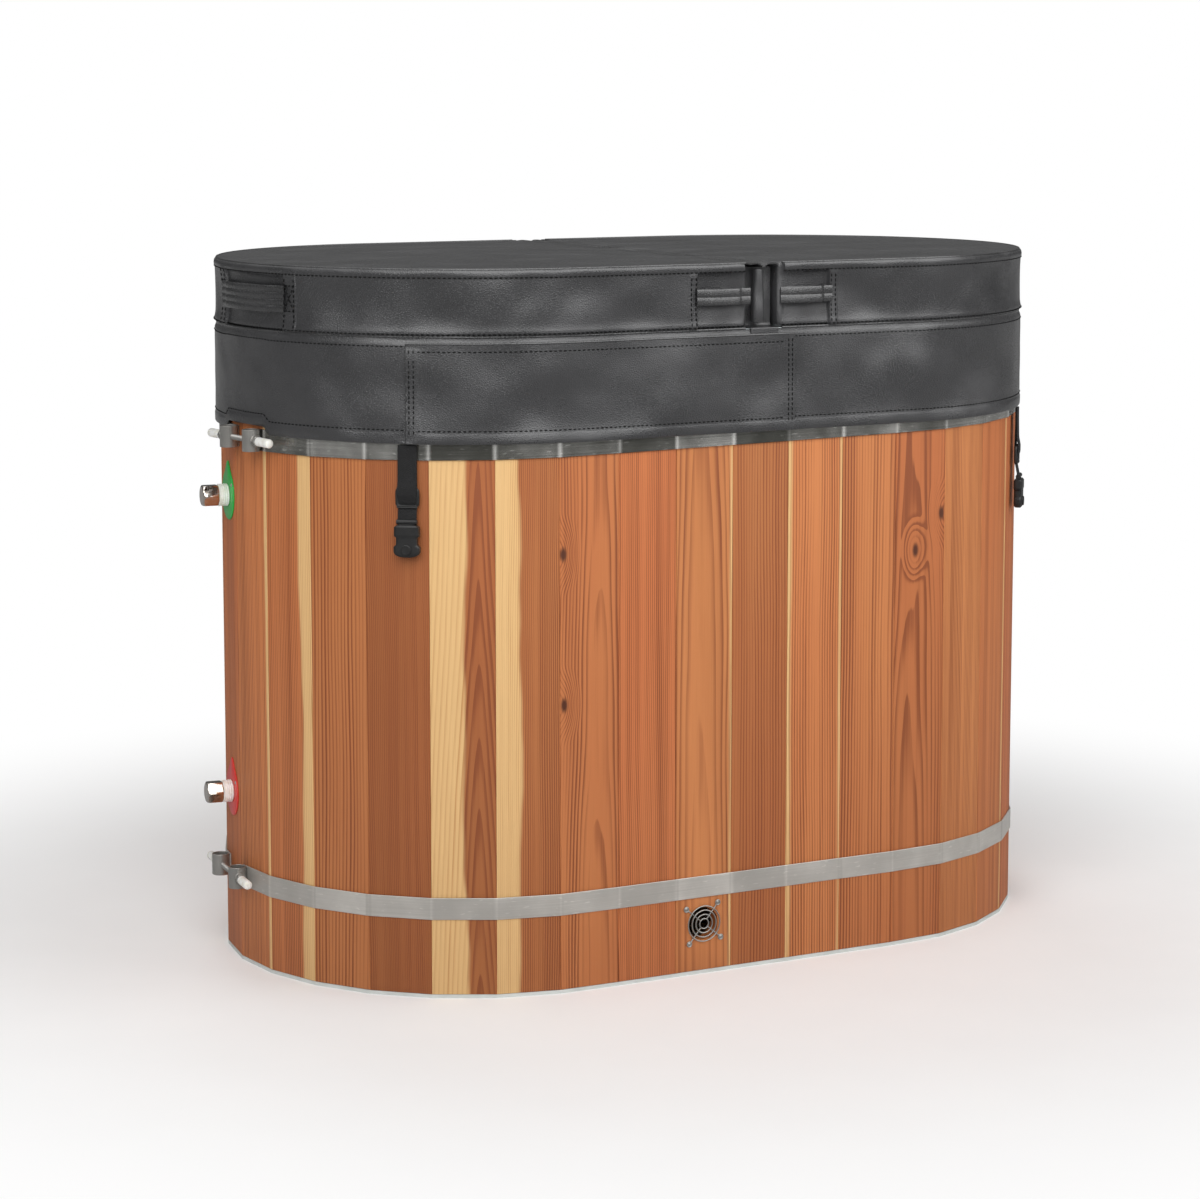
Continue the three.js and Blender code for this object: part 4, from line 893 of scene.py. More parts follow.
def cap(origin, axis):
    """A hexagon with a turned, domed end and a blind bore for the spigot."""
    corner, bore, foot = CAP_ACROSS / math.sqrt(3), SPIGOT_RADIUS + CAP_CLEAR, CAP_FOOT
    ceiling, end = foot + SPIGOT_LENGTH + CAP_ROOF, foot + CAP_LENGTH
    turn = quarter_turn(7)
    dome = np.stack([end - CAP_DOME + CAP_DOME * np.sin(turn), corner - CAP_ROUND * (1 - np.cos(turn))], axis=1)
    rim = np.array([(0, -2.2), (0.7, -0.8), (1.6, 0)]) * MM + (foot, corner)
    profile = [(ceiling, 0.5 * MM), (ceiling, bore), (foot, bore), *rim.tolist(), *dome.tolist(), (end, CAP_END)]
    return turned(profile, origin, axis, hexagon(CAP_ACROSS), 72)


def screw(origin, axis, radius):
    """A low domed head: a quarter ellipse turned about the axis."""
    turn = quarter_turn(5)
    dome = np.stack([radius * 0.55 * np.sin(turn), radius * np.maximum(np.cos(turn), 0.12)], axis=1)
    return turned([(-0.2 * MM, radius), *dome.tolist()], origin, axis, segments=20)


print(f"caps {CAP_ACROSS / MM:.0f} mm across their flats")

# %% Fittings in place
PLATE_SCREW, PLATE_SCREW_RADIUS = (24 * MM, 16 * MM), 2.6 * MM  # beside and above the axis


def chrome_finish():
    """Polished metal with a faint haze in patches."""
    material, start, feed = new_finish("chrome", {"Metallic": 1.0})
    haze = start.noise(start.place(), 120.0, 3.0)
    feed(haze.mix(colour(0.60, 0.52, 0.44), colour(0.84, 0.80, 0.76)), 0.08 + haze.step(0.4, 0.8) * 0.18,
         start.bump(haze, 0.0002, 0.3))
    return material


tape_white = soft_white("tape_white", colour(0.86, 0.85, 0.82), 0.4)
chrome = chrome_finish()
for name, joint in fitting_joints.items():
    origin, axis = np.array(joint["pos_m"]), np.array(joint["axis"])
    place = local(origin, (-axis[1], axis[0]), axis[:2])
    piece(f"{name}_plate", [plate(place)], plates[name], "tub", [f"{name}_plate"])
    head = place((PLATE_SCREW[0], TOUCH + PLATE_THICK, PLATE_SCREW[1]))
    piece(f"{name}_plate_screw", [screw(head, axis, PLATE_SCREW_RADIUS)], bare_steel, "tub")
    piece(f"{name}_spigot", [spigot(origin, axis)], tape_white, "tub", [f"{name}_spigot"])
    piece(f"{name}_cap", [cap(origin, axis)], chrome, f"{name}_cap", [f"{name}_cap"])
    print(f"{name} fitting {origin[2] / MM:.0f} mm up")

# %% [markdown]
# ## Vent guard
# Four wire rings sit on four spokes over a round hole in one board. Each spoke ends in an eye that a screw holds. A
# bevelled curve could make each wire, but the tube above already does.

# %% Wire guard
GUARD_RINGS = (7 * MM, 13 * MM, 19 * MM, 25 * MM)
GUARD_WIRE, GUARD_EYE, GUARD_SQUARE = 0.9 * MM, 3.4 * MM, 50 * MM  # wire and eye radius, distance between screws
GUARD_TURN = 5.5  # degrees that the guard is turned on the board
vent_place = local(vent_middle, vent_heading, vent_outward)
vent_facing = [*vent_outward, 0]


def guard_ring(radius, centre, out):
    """A wire circle about a centre of (along, up)."""
    turn = full_turn(48)
    across, up = centre[0] + radius * np.cos(turn), centre[1] + radius * np.sin(turn)
    return tube(vent_place(np.stack([across, np.full_like(turn, out), up], axis=1)), GUARD_WIRE, vent_facing, True)


def guard_parts():
    """Rings, spokes, eyes and screw heads. Spokes and eyes lie behind the rings."""
    near, far = TOUCH + GUARD_WIRE, TOUCH + 2.5 * GUARD_WIRE
    reach = GUARD_SQUARE / math.sqrt(2)
    parts = [guard_ring(radius, (0, 0), far) for radius in GUARD_RINGS]
    for quarter in range(4):
        turn = math.radians(45 + 90 * quarter + GUARD_TURN)
        direction = np.array([math.cos(turn), 0, math.sin(turn)])
        spoke = np.linspace(GUARD_RINGS[0], reach - GUARD_EYE, 6)[:, None] * direction + np.array([0, near, 0])
        eye = reach * direction
        parts += [tube(vent_place(spoke), GUARD_WIRE, vent_facing), guard_ring(GUARD_EYE, (eye[0], eye[2]), near),
                  screw(vent_place(eye + [0, TOUCH, 0]), vent_facing, GUARD_EYE)]
    return parts


piece("vent_guard", guard_parts(), bare_steel, "tub", ["vent_guard"])
print(f"{len(GUARD_RINGS)} guard rings, the largest {2 * GUARD_RINGS[-1] / MM:.0f} mm across")

# %% [markdown]
# ## Liner, floor and rim
# The liner is a moulded shell that tapers towards its floor, with a flange over the board tops. It shows when the
# cover is off. The base sheet, floor and rim ring keep the shapes of the model and take plain working finishes.

# %% Liner and hidden pieces
RIM_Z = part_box("liner")[1].z
LINER_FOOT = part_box("liner")[0].z
LINER_INSET, LINER_WALL, LINER_DRAFT, LINER_FLOOR_RADIUS = 44.5 * MM, 5 * MM, 7.5 * MM, 55 * MM
FLANGE_THICK, LIP_RADIUS = 6 * MM, 8 * MM
FLANGE_EDGE = ((2, -6), (1.2, -5), (1.2, -1), (2.2, 0))  # inset and height under the rim, in millimetres


def round_off(inset, z, radius, start, end):
    """An arc of (inset, height) about a centre, from one angle to another."""
    turn = np.linspace(start, end, 9)
    return np.stack([inset - radius * np.cos(turn), z + radius * np.sin(turn)], axis=1)


def liner_shell():
    """Rings of the wall's outline at each (inset, height) of a profile.

    The profile runs along the outer floor and wall, round the flange and lip, and down the inner wall to the floor."""
    quarter = math.pi / 2
    foot = LINER_INSET + LINER_DRAFT
    outer = LINER_FLOOR_RADIUS + LINER_WALL
    profile = np.concatenate([
        round_off(foot + outer, LINER_FOOT + outer, outer, -quarter, 0),
        [[LINER_INSET, RIM_Z - FLANGE_THICK]], np.array(FLANGE_EDGE) * MM + (0, RIM_Z),
        round_off(LINER_INSET + LINER_WALL - LIP_RADIUS, RIM_Z - LIP_RADIUS, LIP_RADIUS, quarter, 2 * quarter),
        round_off(foot + outer, LINER_FOOT + outer, LINER_FLOOR_RADIUS, 0, -quarter),
    ])
    s = np.linspace(-BACK, BACK, 192, endpoint=False)
    points, _ = wall(np.broadcast_to(s, (len(profile), len(s))), -profile[:, :1] + 0 * s)
    return skin(np.dstack([points, np.broadcast_to(profile[:, 1:], points.shape[:2])]))


def working_finish(name, light, dark, stretch, rough):
    """A plain finish whose noise is stretched along the piece, as in plywood."""
    return mottled_finish(name, (light, dark), (1.0, 4.0), (0.3, 0.7), (rough, 0.15), (0.0003, 0.3), stretch=stretch)


shell_white = working_finish("shell_white", colour(0.74, 0.79, 0.80), colour(0.68, 0.73, 0.74), (60, 60, 60), 0.22)
plywood = working_finish("plywood", colour(0.62, 0.44, 0.24), colour(0.50, 0.33, 0.16), (3, 90, 90), 0.6)
pale_sheet = working_finish("pale_sheet", colour(0.58, 0.60, 0.58), colour(0.48, 0.50, 0.48), (25, 25, 25), 0.45)
liner = piece("liner", [liner_shell()], shell_white, "tub", ["liner"], crease=40)
for joint in fitting_joints.values():
    drilled(liner, np.array(joint["pos_m"]), joint["axis"][:2], SHANK_HOLE, 3 * LINER_INSET)
hidden = {"base_sheet": pale_sheet, "floor_frame": plywood, "floor_panel": plywood, "rim_ring": plywood}
for node, finish in hidden.items():
    frame["nodes"][node].data.materials.clear()
    frame["nodes"][node].data.materials.append(finish)
print(f"liner {(RIM_Z - LINER_FOOT) / MM:.0f} mm deep")

# %% [markdown]
# ## Vinyl
# The cover is black upholstery vinyl. Its embossed grain is a net of small cells, finer creases cross them, and the
# surface has soft paler patches, which are partly wear and partly a painted sheen. The sewing thread is black too, but
# has no shine.

# %% Vinyl finish
CELLS, CREASES, WEAR_AND_SHEEN_PATCHES, BUCKLES = 360.0, 700.0, 9.0, 8.0  # patterns for each metre


def vinyl_finish(name, dark, light, rough):
    """Distance to the cells' edges gives the embossed net, and a slow bump gives the slack of the vinyl."""
    shine = {"Specular IOR Level": 0.85, "Coat Weight": 0.4, "Coat Roughness": 0.24}
    material, start, feed = new_finish(name, shine)
    place = start.place()
    cells = start.node("ShaderNodeTexVoronoi", {"feature": "DISTANCE_TO_EDGE"}, {"Vector": place, "Scale": CELLS})
    cells = cells.step(0.0, 0.3)
    crease = start.noise(place, CREASES, 3.0)
    patch = start.noise(place, WEAR_AND_SHEEN_PATCHES, 4.0)
    slack = start.bump(start.noise(place, BUCKLES, 1.0), 0.032, 1.0)
    # the patches and creases make the vinyl paler in places: partly wear, partly a painted sheen
    feed((patch * 0.8 + crease * 0.5 - 0.2).step(0.1, 0.9).mix(dark, light), rough + patch * 0.14 - cells * 0.10,
         start.bump(cells + crease * 0.5, 0.0004, 0.5, slack))
    return material


vinyl = vinyl_finish("vinyl", colour(0.023, 0.023, 0.0245), colour(0.043, 0.043, 0.045), 0.30)
trim = vinyl_finish("trim", colour(0.020, 0.020, 0.021), colour(0.036, 0.036, 0.037), 0.26)
sewing = mottled_finish("sewing", (colour(0.003, 0.003, 0.003), colour(0.011, 0.011, 0.011)), (1900.0, 2.0),
                        (0.3, 0.7), (0.7, 0.2), (0.0003, 0.6), constants={"Specular IOR Level": 0.08})
print(f"the vinyl finish has {len(vinyl.node_tree.nodes)} nodes")

# %% [markdown]
# ## Seams
# A row of stitches is one small grain-shaped grid repeated along a line. All copies share the same faces, moved on by
# the number of points in one stitch. Painted stitches would cost less, but these stand out of the vinyl.

# %% Rows of stitches
STITCH_LENGTH, STITCH_PITCH, STITCH_RADIUS = 4.6 * MM, 6.8 * MM, 0.9 * MM
SEAM_LIFT = 0.1 * MM  # the stitches' middle line over the surface


def stitches(path, outward):
    """Grain shapes set end to end along a line, half sunk in the surface that faces outward."""
    path, outward = np.asarray(path, float), np.asarray(outward, float)
    length = lengths(path)
    at = np.arange(STITCH_PITCH / 2, length[-1], STITCH_PITCH)
    centre, back, ahead, facing = (
        np.stack([np.interp(at + shift, length, line[:, k]) for k in range(3)], axis=1)
        for shift, line in ((0, path), (-MM, path), (MM, path), (0, outward)))
    heading = unit(ahead - back)
    side = np.cross(heading, facing)
    turn = full_turn(6)
    lengthwise = np.array([-0.5, -0.25, 0.25, 0.5]) * STITCH_LENGTH
    thick = np.array([0.35, 1.0, 1.0, 0.35]) * STITCH_RADIUS
    ring = np.cos(turn)[:, None, None] * facing + np.sin(turn)[:, None, None] * side
    grid = centre + lengthwise[:, None, None, None] * heading + thick[:, None, None, None] * ring
    grid = np.moveaxis(grid, 2, 0)
    one = skin(grid[0])
    count = len(one["points"])
    faces = [[index + count * k for index in face] for k in range(len(at)) for face in one["faces"]]
    points = grid.reshape(-1, 3)
    return {"points": points, "faces": faces, "uv": np.zeros((len(points), 2)), "marks": {}}


def wall_line(s, out, z):
    """Points along the wall at an offset and a height, and their outward directions."""
    points, outward = wall(around(s), out)
    heights = np.broadcast_to(z, np.shape(s))
    return np.column_stack([points, heights]), np.column_stack([outward, 0 * heights])


def seam(s, out, z):
    """A row of stitches along the wall at an offset and a height."""
    return stitches(*wall_line(s, out, z))


print(f"{1 / STITCH_PITCH:.0f} stitches for each metre")

# %% [markdown]
# ## The pads' sides
# Each pad is foam in a sewn cover. Its side is a field of offsets from the wall: a waist, a folded band under the top
# edge, sunk pockets behind the handles, raised sewn-on strips, soft waves and a few pressed dents. A cloth simulation
# could swell the foam, but the foam is firm, so its outline has to stay true to the rim.

# %% Fields of the pad's side
FOLD = joints["cover_fold"]["pos_m"][0]
FOLD_HALF = 23 * MM
PAD_FOOT, PAD_RIM, PAD_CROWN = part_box("left_pad")[0].z, 986.3 * MM, 3.2 * MM
PAD_OUT, PAD_CORNER = 4.4 * MM, 9 * MM
WAIST, TOP_BAND, FOOT_FLARE = 2.6 * MM, 1.0 * MM, 1.4 * MM
BAND_SHARE, FOOT_SHARE = (0.86, 0.89), (0.16, 0.02)  # shares of the height where the band and the foot begin
WAVE_SEED, WAVE_SIZE, WAVES = 11, 1.1 * MM, 9
END_HANDLE = TIP - 50 * MM  # middle of the end handles along the wall, on both sides
SIDE_POCKET, SIDE_SUNK, SIDE_STRIP = (24 * MM, 104 * MM), 5.5 * MM, 13 * MM  # from the fold, depth, strip beside it
END_POCKET, END_SUNK, END_STRIP = 78 * MM, 4.0 * MM, 24 * MM
POCKET_TOP, POCKET_SOFT, STRIP_HIGH, STRIP_SOFT = (0.88, 0.82), 2 * MM, 1.2 * MM, 1.2 * MM
# place along the wall in metres, share of the height, width in metres, height as a share, depth in millimetres
DENTS = ((-0.455, 0.30, 0.045, 0.22, 2.6), (-0.60, 0.45, 0.05, 0.3, 1.6), (-0.33, 0.62, 0.07, 0.2, 1.5),
         (-0.20, 0.25, 0.05, 0.2, 1.8), (0.19, 0.30, 0.03, 0.25, 2.4), (0.36, 0.6, 0.06, 0.25, 1.6))


def rise(value, low, high):
    """A smooth step of an array."""
    t = np.clip((value - low) / (high - low), 0, 1)
    return t * t * (3 - 2 * t)


def window(value, low, high, soft):
    """1 between low and high and 0 outside, with soft edges."""
    return rise(value, low - soft, low + soft) - rise(value, high - soft, high + soft)


def mirrored(s):
    """The distance along the wall from the fold's near end, and from an end handle's middle on the front half."""
    s = around(s)
    face = np.where(np.abs(s) > TIP, np.sign(s) * BACK - s, s)
    return np.abs(face - FOLD), np.abs(s) - END_HANDLE


def waves(s, t, seed, size):
    """A seeded sum of slanted cosines, still at the top and bottom seams."""
    random = np.random.default_rng(seed)
    total = np.zeros(np.broadcast_shapes(np.shape(s), np.shape(t)))
    for _ in range(WAVES):
        length, slant, phase = random.uniform(0.05, 0.34), random.uniform(-1.2, 1.2), random.uniform(0, 6.3)
        total = total + np.cos(2 * math.pi * (s / length + slant * t) + phase) * length ** 0.5
    return size * total * np.sin(math.pi * np.clip(t, 0, 1)) ** 0.7


print(f"{len(DENTS)} dents and {WAVES} waves")

# %% The side's offsets


def side_offset(s, t):
    """How far the pad's side stands out of the wall at a distance s and a share t of its height."""
    from_fold, from_handle = mirrored(s)
    far = np.abs(from_handle)
    out = PAD_OUT - WAIST * np.sin(math.pi * t) + TOP_BAND * rise(t, *BAND_SHARE) + FOOT_FLARE * rise(t, *FOOT_SHARE)
    out = out + waves(s, t, WAVE_SEED, WAVE_SIZE)
    for centre, height, wide, tall, depth in DENTS:
        out = out - depth * MM * np.exp(-((s - centre) / wide) ** 2 - ((t - height) / tall) ** 2)
    out = out - SIDE_SUNK * window(from_fold, *SIDE_POCKET, POCKET_SOFT) * rise(t, *POCKET_TOP)
    side_strip = window(from_fold, SIDE_POCKET[1], SIDE_POCKET[1] + SIDE_STRIP, STRIP_SOFT)
    out = out + STRIP_HIGH * side_strip * rise(t, 0.88, 0.84)
    out = out - END_SUNK * window(far, -1, END_POCKET, POCKET_SOFT) * rise(t, *POCKET_TOP)
    return out + STRIP_HIGH * window(far, END_POCKET, END_POCKET + END_STRIP, STRIP_SOFT) * rise(t, 0.9, 0.86)


def pad_height(t):
    """The height at a share t of the pad's side."""
    return PAD_FOOT + (PAD_RIM - PAD_FOOT) * t


trial = side_offset(np.linspace(-BACK, BACK, 500)[:, None], np.linspace(0, 1, 20))
print(f"the pads' sides stand {trial.min() / MM:.1f} to {trial.max() / MM:.1f} mm out of the wall")

# %% [markdown]
# ## Pads
# A pad's plan is half of the wall's outline, closed by a straight edge at the fold. Its side rows stand at the
# offsets, and the rows of its top and bottom are drawn in to a middle point, so one grid makes the whole closed
# cushion.

# %% Pad shells
PAD_MIDDLE = 0.33  # metres from the fold to the point that the top is drawn in to
FOLD_FACE = -1.5 * MM  # the straight edge stands back from the fold
PAD_ROUND, ROUND_FOOT, ROUND_TOP = 6 * MM, 0.06, (0.93, 0.07)  # rounded edges, as shares of the height
SIDE_ROWS = (0.0, 0.02, 0.06, *np.linspace(0.1, 0.84, 16), 0.86, 0.875, 0.89, 0.93, 0.965, 0.985, 1.0)
TOP_ROWS = (0.985, 0.95, 0.88, 0.78, 0.64, 0.48, 0.30, 0.12, 0.03)
EDGE_STEPS = np.array([-2.4, -1.2, 0, 1.2, 2.4]) * MM  # extra columns at a pocket's edge


def pad_columns(side):
    """Places round one pad: along the wall, with extra ones at pocket edges, then across the fold and its corners."""
    start, end = side * (FOLD_HALF + PAD_CORNER) + FOLD, side * (BACK - FOLD_HALF - PAD_CORNER) - FOLD
    edges = np.array([*SIDE_POCKET, SIDE_POCKET[1] + SIDE_STRIP])
    ends = END_HANDLE + np.array([-1, -1, 1, 1]) * END_POCKET + np.array([-1, 0, 0, 1]) * END_STRIP
    marks = np.concatenate([FOLD + side * edges, side * BACK - FOLD - side * edges, side * ends])
    extra = (marks[:, None] + EDGE_STEPS).ravel()
    s = np.concatenate([np.linspace(start, end, 230), extra[(extra - start) * side > 0]])
    s = np.sort(s)[::side]
    base, outward = wall(s)
    turn = quarter_turn(6)[1:-1]
    fold, flank = FOLD + side * FOLD_HALF, END_RADIUS - PAD_CORNER
    corner_back = np.stack([-side * np.sin(turn), np.cos(turn)], axis=1)
    corner_front = np.stack([-side * np.cos(turn), -np.sin(turn)], axis=1)
    centre = np.array([fold + side * PAD_CORNER, flank])
    straight = np.linspace(1, -1, 30)[:, None] * np.array([0, flank]) + np.array([fold, 0])
    points = np.concatenate([base, centre + PAD_CORNER * corner_back, straight,
                             centre * [1, -1] + PAD_CORNER * corner_front])
    normals = np.concatenate([outward, corner_back, np.tile([-side, 0.0], (len(straight), 1)), corner_front])
    return points, normals, np.concatenate([s, np.full(len(points) - len(s), np.nan)])


def pad(side):
    """The side rows stand at their offsets, and the top and bottom rows are drawn in to a middle point and crowned."""
    points, normals, s = pad_columns(side)
    at_fold = np.isnan(s)
    share = np.array(SIDE_ROWS)[:, None]
    out = np.where(at_fold, FOLD_FACE, side_offset(np.where(at_fold, 0, s), share))
    near_edge = np.clip(np.maximum(1 - share / ROUND_FOOT, (share - ROUND_TOP[0]) / ROUND_TOP[1]), 0, 1)
    edge = PAD_ROUND * (1 - np.sqrt(1 - near_edge ** 2))
    ring = points + normals * (out - edge)[..., None]
    heights = pad_height(np.broadcast_to(share, ring.shape[:2]))
    middle = np.array([FOLD + side * PAD_MIDDLE, 0])
    draw = np.array(TOP_ROWS)[:, None, None]
    top = middle + (ring[-1] - middle) * draw
    sag = PAD_CROWN * (1 - draw[..., 0] ** 3) * (0.9 + 0.1 * np.cos(top[..., 0] * 31 + 2 * np.sin(top[..., 1] * 17)))
    low = middle + (ring[0] - middle) * draw[::-2]
    flat = np.full(low.shape[:2], PAD_FOOT)
    return skin(np.concatenate([np.dstack([low, flat]), np.dstack([ring, heights]), np.dstack([top, PAD_RIM + sag])]))


SIDES = (("left", -1), ("right", 1))
for name, side in SIDES:
    made = piece(f"{name}_pad", [pad(side)], vinyl, f"{name}_cover", [f"{name}_pad"], crease=60)
    print(f"{name} pad has {len(made.data.polygons)} faces")

# %% [markdown]
# ## Seams and welts of the pads
# Rows of stitches follow the same field of offsets as the pads, so they lie on the vinyl everywhere. The end handles
# are held by boxes of stitches with a cross. A welt, a thin cord in a fold of vinyl, closes the top and bottom edges.

# %% Pad seams
PAD_SEAMS = (0.872, 0.04)  # shares of the height
BOX_SHARES, UPRIGHT_SHARES, POCKET_SHARES = (0.32, 0.70), (0.06, 0.85), (0.06, 0.82)
BOX_INSETS, POCKET_INSETS = (3 * MM, 21 * MM), (3 * MM, 10 * MM)
# offset, height and radius of the top and bottom welts
PAD_WELTS = ((0.8 * MM, PAD_RIM - 0.6 * MM, 1.5 * MM), (1.8 * MM, PAD_FOOT + 0.4 * MM, 1.7 * MM))


def pad_seam(start, end, low, high, steps=60):
    """A row of stitches on a pad's side, straight from one (distance, share of height) to another."""
    u = np.linspace(0, 1, steps)
    s, t = start + (end - start) * u, low + (high - low) * u
    return seam(s, side_offset(s, t) + SEAM_LIFT, pad_height(t))


def crossed_box(near, far):
    """Stitches that hold an end handle: two upright rows, and a box with a cross at the handle's height."""
    low, high = BOX_SHARES
    upright = [pad_seam(s, s, *UPRIGHT_SHARES) for s in (near, far)]
    level = [pad_seam(near, far, t, t) for t in BOX_SHARES]
    return [*upright, *level, pad_seam(near, far, low, high), pad_seam(near, far, high, low)]


for name, side in SIDES:
    start, end = FOLD + side * (FOLD_HALF + PAD_ROUND), side * (BACK - FOLD_HALF - PAD_ROUND) - FOLD
    rows = [pad_seam(start, end, t, t, 400) for t in PAD_SEAMS]
    for flank in (-1, 1):
        rows += crossed_box(*(side * (END_HANDLE + flank * (END_POCKET + inset)) for inset in BOX_INSETS))
    for edge in (SIDE_POCKET[1] + inset for inset in POCKET_INSETS):
        rows += [pad_seam(s, s, *POCKET_SHARES) for s in (FOLD + side * edge, side * (BACK - edge) - FOLD)]
    piece(f"{name}_pad_stitches", rows, sewing, f"{name}_cover")
    s = np.linspace(start, end, 400)
    welts = [tube(wall_line(s, out, z)[0], radius, (0, 0, 1)) for out, z, radius in PAD_WELTS]
    piece(f"{name}_pad_welts", welts, trim, f"{name}_cover")
    print(f"{name} pad has {len(rows)} rows of stitches")

# %% [markdown]
# ## Hanging strips
# A skirt hangs from each pad, and flaps sewn to the left half cover the split between them. Each is a strip with two
# faces, which goes up its outer face, over its top and down its inner face, and is rippled towards its rolled hem.
# The skirts and flaps are stiff and lie on the boards, so a formula holds them closer to the wall than draped cloth
# would.

# %% Strips along the wall
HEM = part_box("right_skirt")[0].z
LEFT_STRAP = HALF + END_RADIUS * math.radians(39)
CLAMP_MIDDLE, CLAMP_HALF, CLAMP_RISE = -TIP + HOOPS["upper"]["ahead"], 58 * MM, 11 * MM
RIPPLE, SHIVER, PUCKER, PUCKER_WIDE = 1.3 * MM, 0.3 * MM, 0.7 * MM, 0.02
STRIP_ROWS = np.array([0, 0.01, 0.04, 0.085, 0.10, 0.115, *np.linspace(0.2, 0.92, 8), 0.945, 0.965, 0.985, 1.0])
HEM_ROLL, HEM_EDGE = 1.0 * MM, 0.4  # the roll's height, and how much of the thickness its edge draws in
BORDER_EDGE = (16 * MM, 14 * MM)  # where a doubled end goes down to one layer
STRIP_SEAMS, END_SEAMS, END_SHARES = (0.13, 0.92), (4 * MM, 10 * MM), (0.04, 0.94)


def hem_height(s):
    """The hem, raised over the upper clamp."""
    return HEM + CLAMP_RISE * window(s, CLAMP_MIDDLE - CLAMP_HALF, CLAMP_MIDDLE + CLAMP_HALF, 8 * MM)


def ripple(s, t):
    """Outward waves that grow towards the hem, where t is 0, and puckers beside the left straps' seams."""
    pucker = np.exp(-((np.abs(s) - LEFT_STRAP) / PUCKER_WIDE) ** 2) * np.cos(t * 55) * PUCKER * (s < 0)
    soft = 0.5 + 0.5 * np.cos(s * 23 + 1.6 * np.sin(s * 9)) * np.cos(s * 7 + t * 2)
    return RIPPLE * soft * (1 - t) ** 1.5 + pucker + SHIVER * np.cos(s * 61 + t * 9) ** 2


def strip(s, out, top, thick, border=0.0, tuck=0.0):
    """A strip along the wall: up its outer face, over its top and down its inner face, with a rolled hem.

    Its ends are doubled by border, and its top is drawn in by tuck."""
    t = STRIP_ROWS
    edge = thick * HEM_EDGE * rise(t, 0.012, 0.0)
    share = np.concatenate([t, t[::-1]])
    layer = np.concatenate([thick + (HEM_ROLL * rise(t, 0.11, 0.085) - edge), edge[::-1]])
    grid_s = s[:, None] + 0 * share
    low = hem_height(s)[:, None]
    doubled = border * rise(np.minimum(abs(grid_s - s[0]), abs(grid_s - s[-1])), *BORDER_EDGE)
    outer = np.arange(len(share)) < len(t)
    offset = out + layer + ripple(grid_s, share) + doubled * outer - tuck * rise(share, 0.94, 0.99)
    return skin(np.dstack([wall(around(grid_s), offset)[0], low + (top - low) * share]))


def strip_seams(s, out, top, thick, border=0.0):
    """Stitches along a strip's hem and top, and down its ends."""
    low = hem_height(s)
    rows = [seam(s, out + thick + ripple(s, t), low + (top - low) * t) for t in STRIP_SEAMS]
    t = np.linspace(*END_SHARES, 40)
    for place in (s[0], s[-1]):
        for inset in END_SEAMS:
            at = np.full(40, place + inset * np.sign(s[len(s) // 2] - place))
            rows.append(seam(at, out + thick + border + ripple(at, t), HEM + (top - HEM) * t))
    return rows


print(f"the hem is {HEM / MM:.0f} mm up, and {CLAMP_RISE / MM:.0f} mm higher over the clamp")

# %% [markdown]
# ## Skirts and flaps
# The skirts part at the fold. Each flap runs from its left strap's seam to a little past the fold, and has piping
# along its top and both ends. Their cut sizes are the heights and the lengths along the wall.

# %% Skirts and flaps
SKIRT_TOP, SKIRT_OUT, SKIRT_THICK, SKIRT_SPLIT, SKIRT_TUCK = RIM_Z - 0.4 * MM, 2.6 * MM, 2.0 * MM, 6 * MM, 2.2 * MM
FLAP_OUT, FLAP_TOP, FLAP_PAST, FLAP_BORDER = 5.6 * MM, RIM_Z - 8 * MM, 46 * MM, 1.3 * MM
TOP_PIPING, END_PIPING = (1.4 * MM, 1.6 * MM), (1.6 * MM, 1.7 * MM)  # offset from the flap, and radius

for name, side in SIDES:
    s = np.linspace(FOLD + side * SKIRT_SPLIT, side * (BACK - SKIRT_SPLIT) - FOLD, 330)
    cut = [strip(s, SKIRT_OUT, SKIRT_TOP, SKIRT_THICK, tuck=SKIRT_TUCK)]
    made = piece(f"{name}_skirt", cut, vinyl, f"{name}_cover", [f"{name}_skirt"])
    seams = strip_seams(s, SKIRT_OUT, SKIRT_TOP, SKIRT_THICK)
    piece(f"{name}_skirt_stitches", seams, sewing, f"{name}_cover")
    print(f"{name} skirt cut to {SKIRT_TOP - HEM:.3f} by {abs(s[-1] - s[0]):.3f} m")

flap_ends = {"front": (-LEFT_STRAP, FOLD + FLAP_PAST), "back": (-BACK + LEFT_STRAP, -BACK - FOLD - FLAP_PAST)}
for name, ends in flap_ends.items():
    s = np.linspace(*ends, 190)
    cut = [strip(s, FLAP_OUT, FLAP_TOP, SKIRT_THICK, border=FLAP_BORDER)]
    made = piece(f"{name}_flap", cut, vinyl, "left_cover", [f"{name}_flap"])
    seams = strip_seams(s, FLAP_OUT, FLAP_TOP, SKIRT_THICK, FLAP_BORDER)
    piece(f"{name}_flap_stitches", seams, sewing, "left_cover")
    piping = [tube(wall_line(s, FLAP_OUT + TOP_PIPING[0], FLAP_TOP)[0], TOP_PIPING[1], (0, 0, 1))]
    drop, t = np.linspace(HEM + MM, FLAP_TOP, 40), np.linspace(0, 1, 40)
    for at in (np.full(40, end) for end in (s[0], s[-1])):
        line, facing = wall_line(at, FLAP_OUT + END_PIPING[0] + ripple(at, t), drop)
        piping.append(tube(line, END_PIPING[1], facing[0]))
    piece(f"{name}_flap_piping", piping, trim, "left_cover")
    print(f"{name} flap cut to {FLAP_TOP - HEM:.3f} by {abs(s[-1] - s[0]):.3f} m")

# %% [markdown]
# ## The fold
# A strip across the top bends with both halves, so it is blended between their bodies. At the front and the back,
# folded vinyl closes the gap between the pads. It stays with the right half, where a bent strip would have to
# stretch.

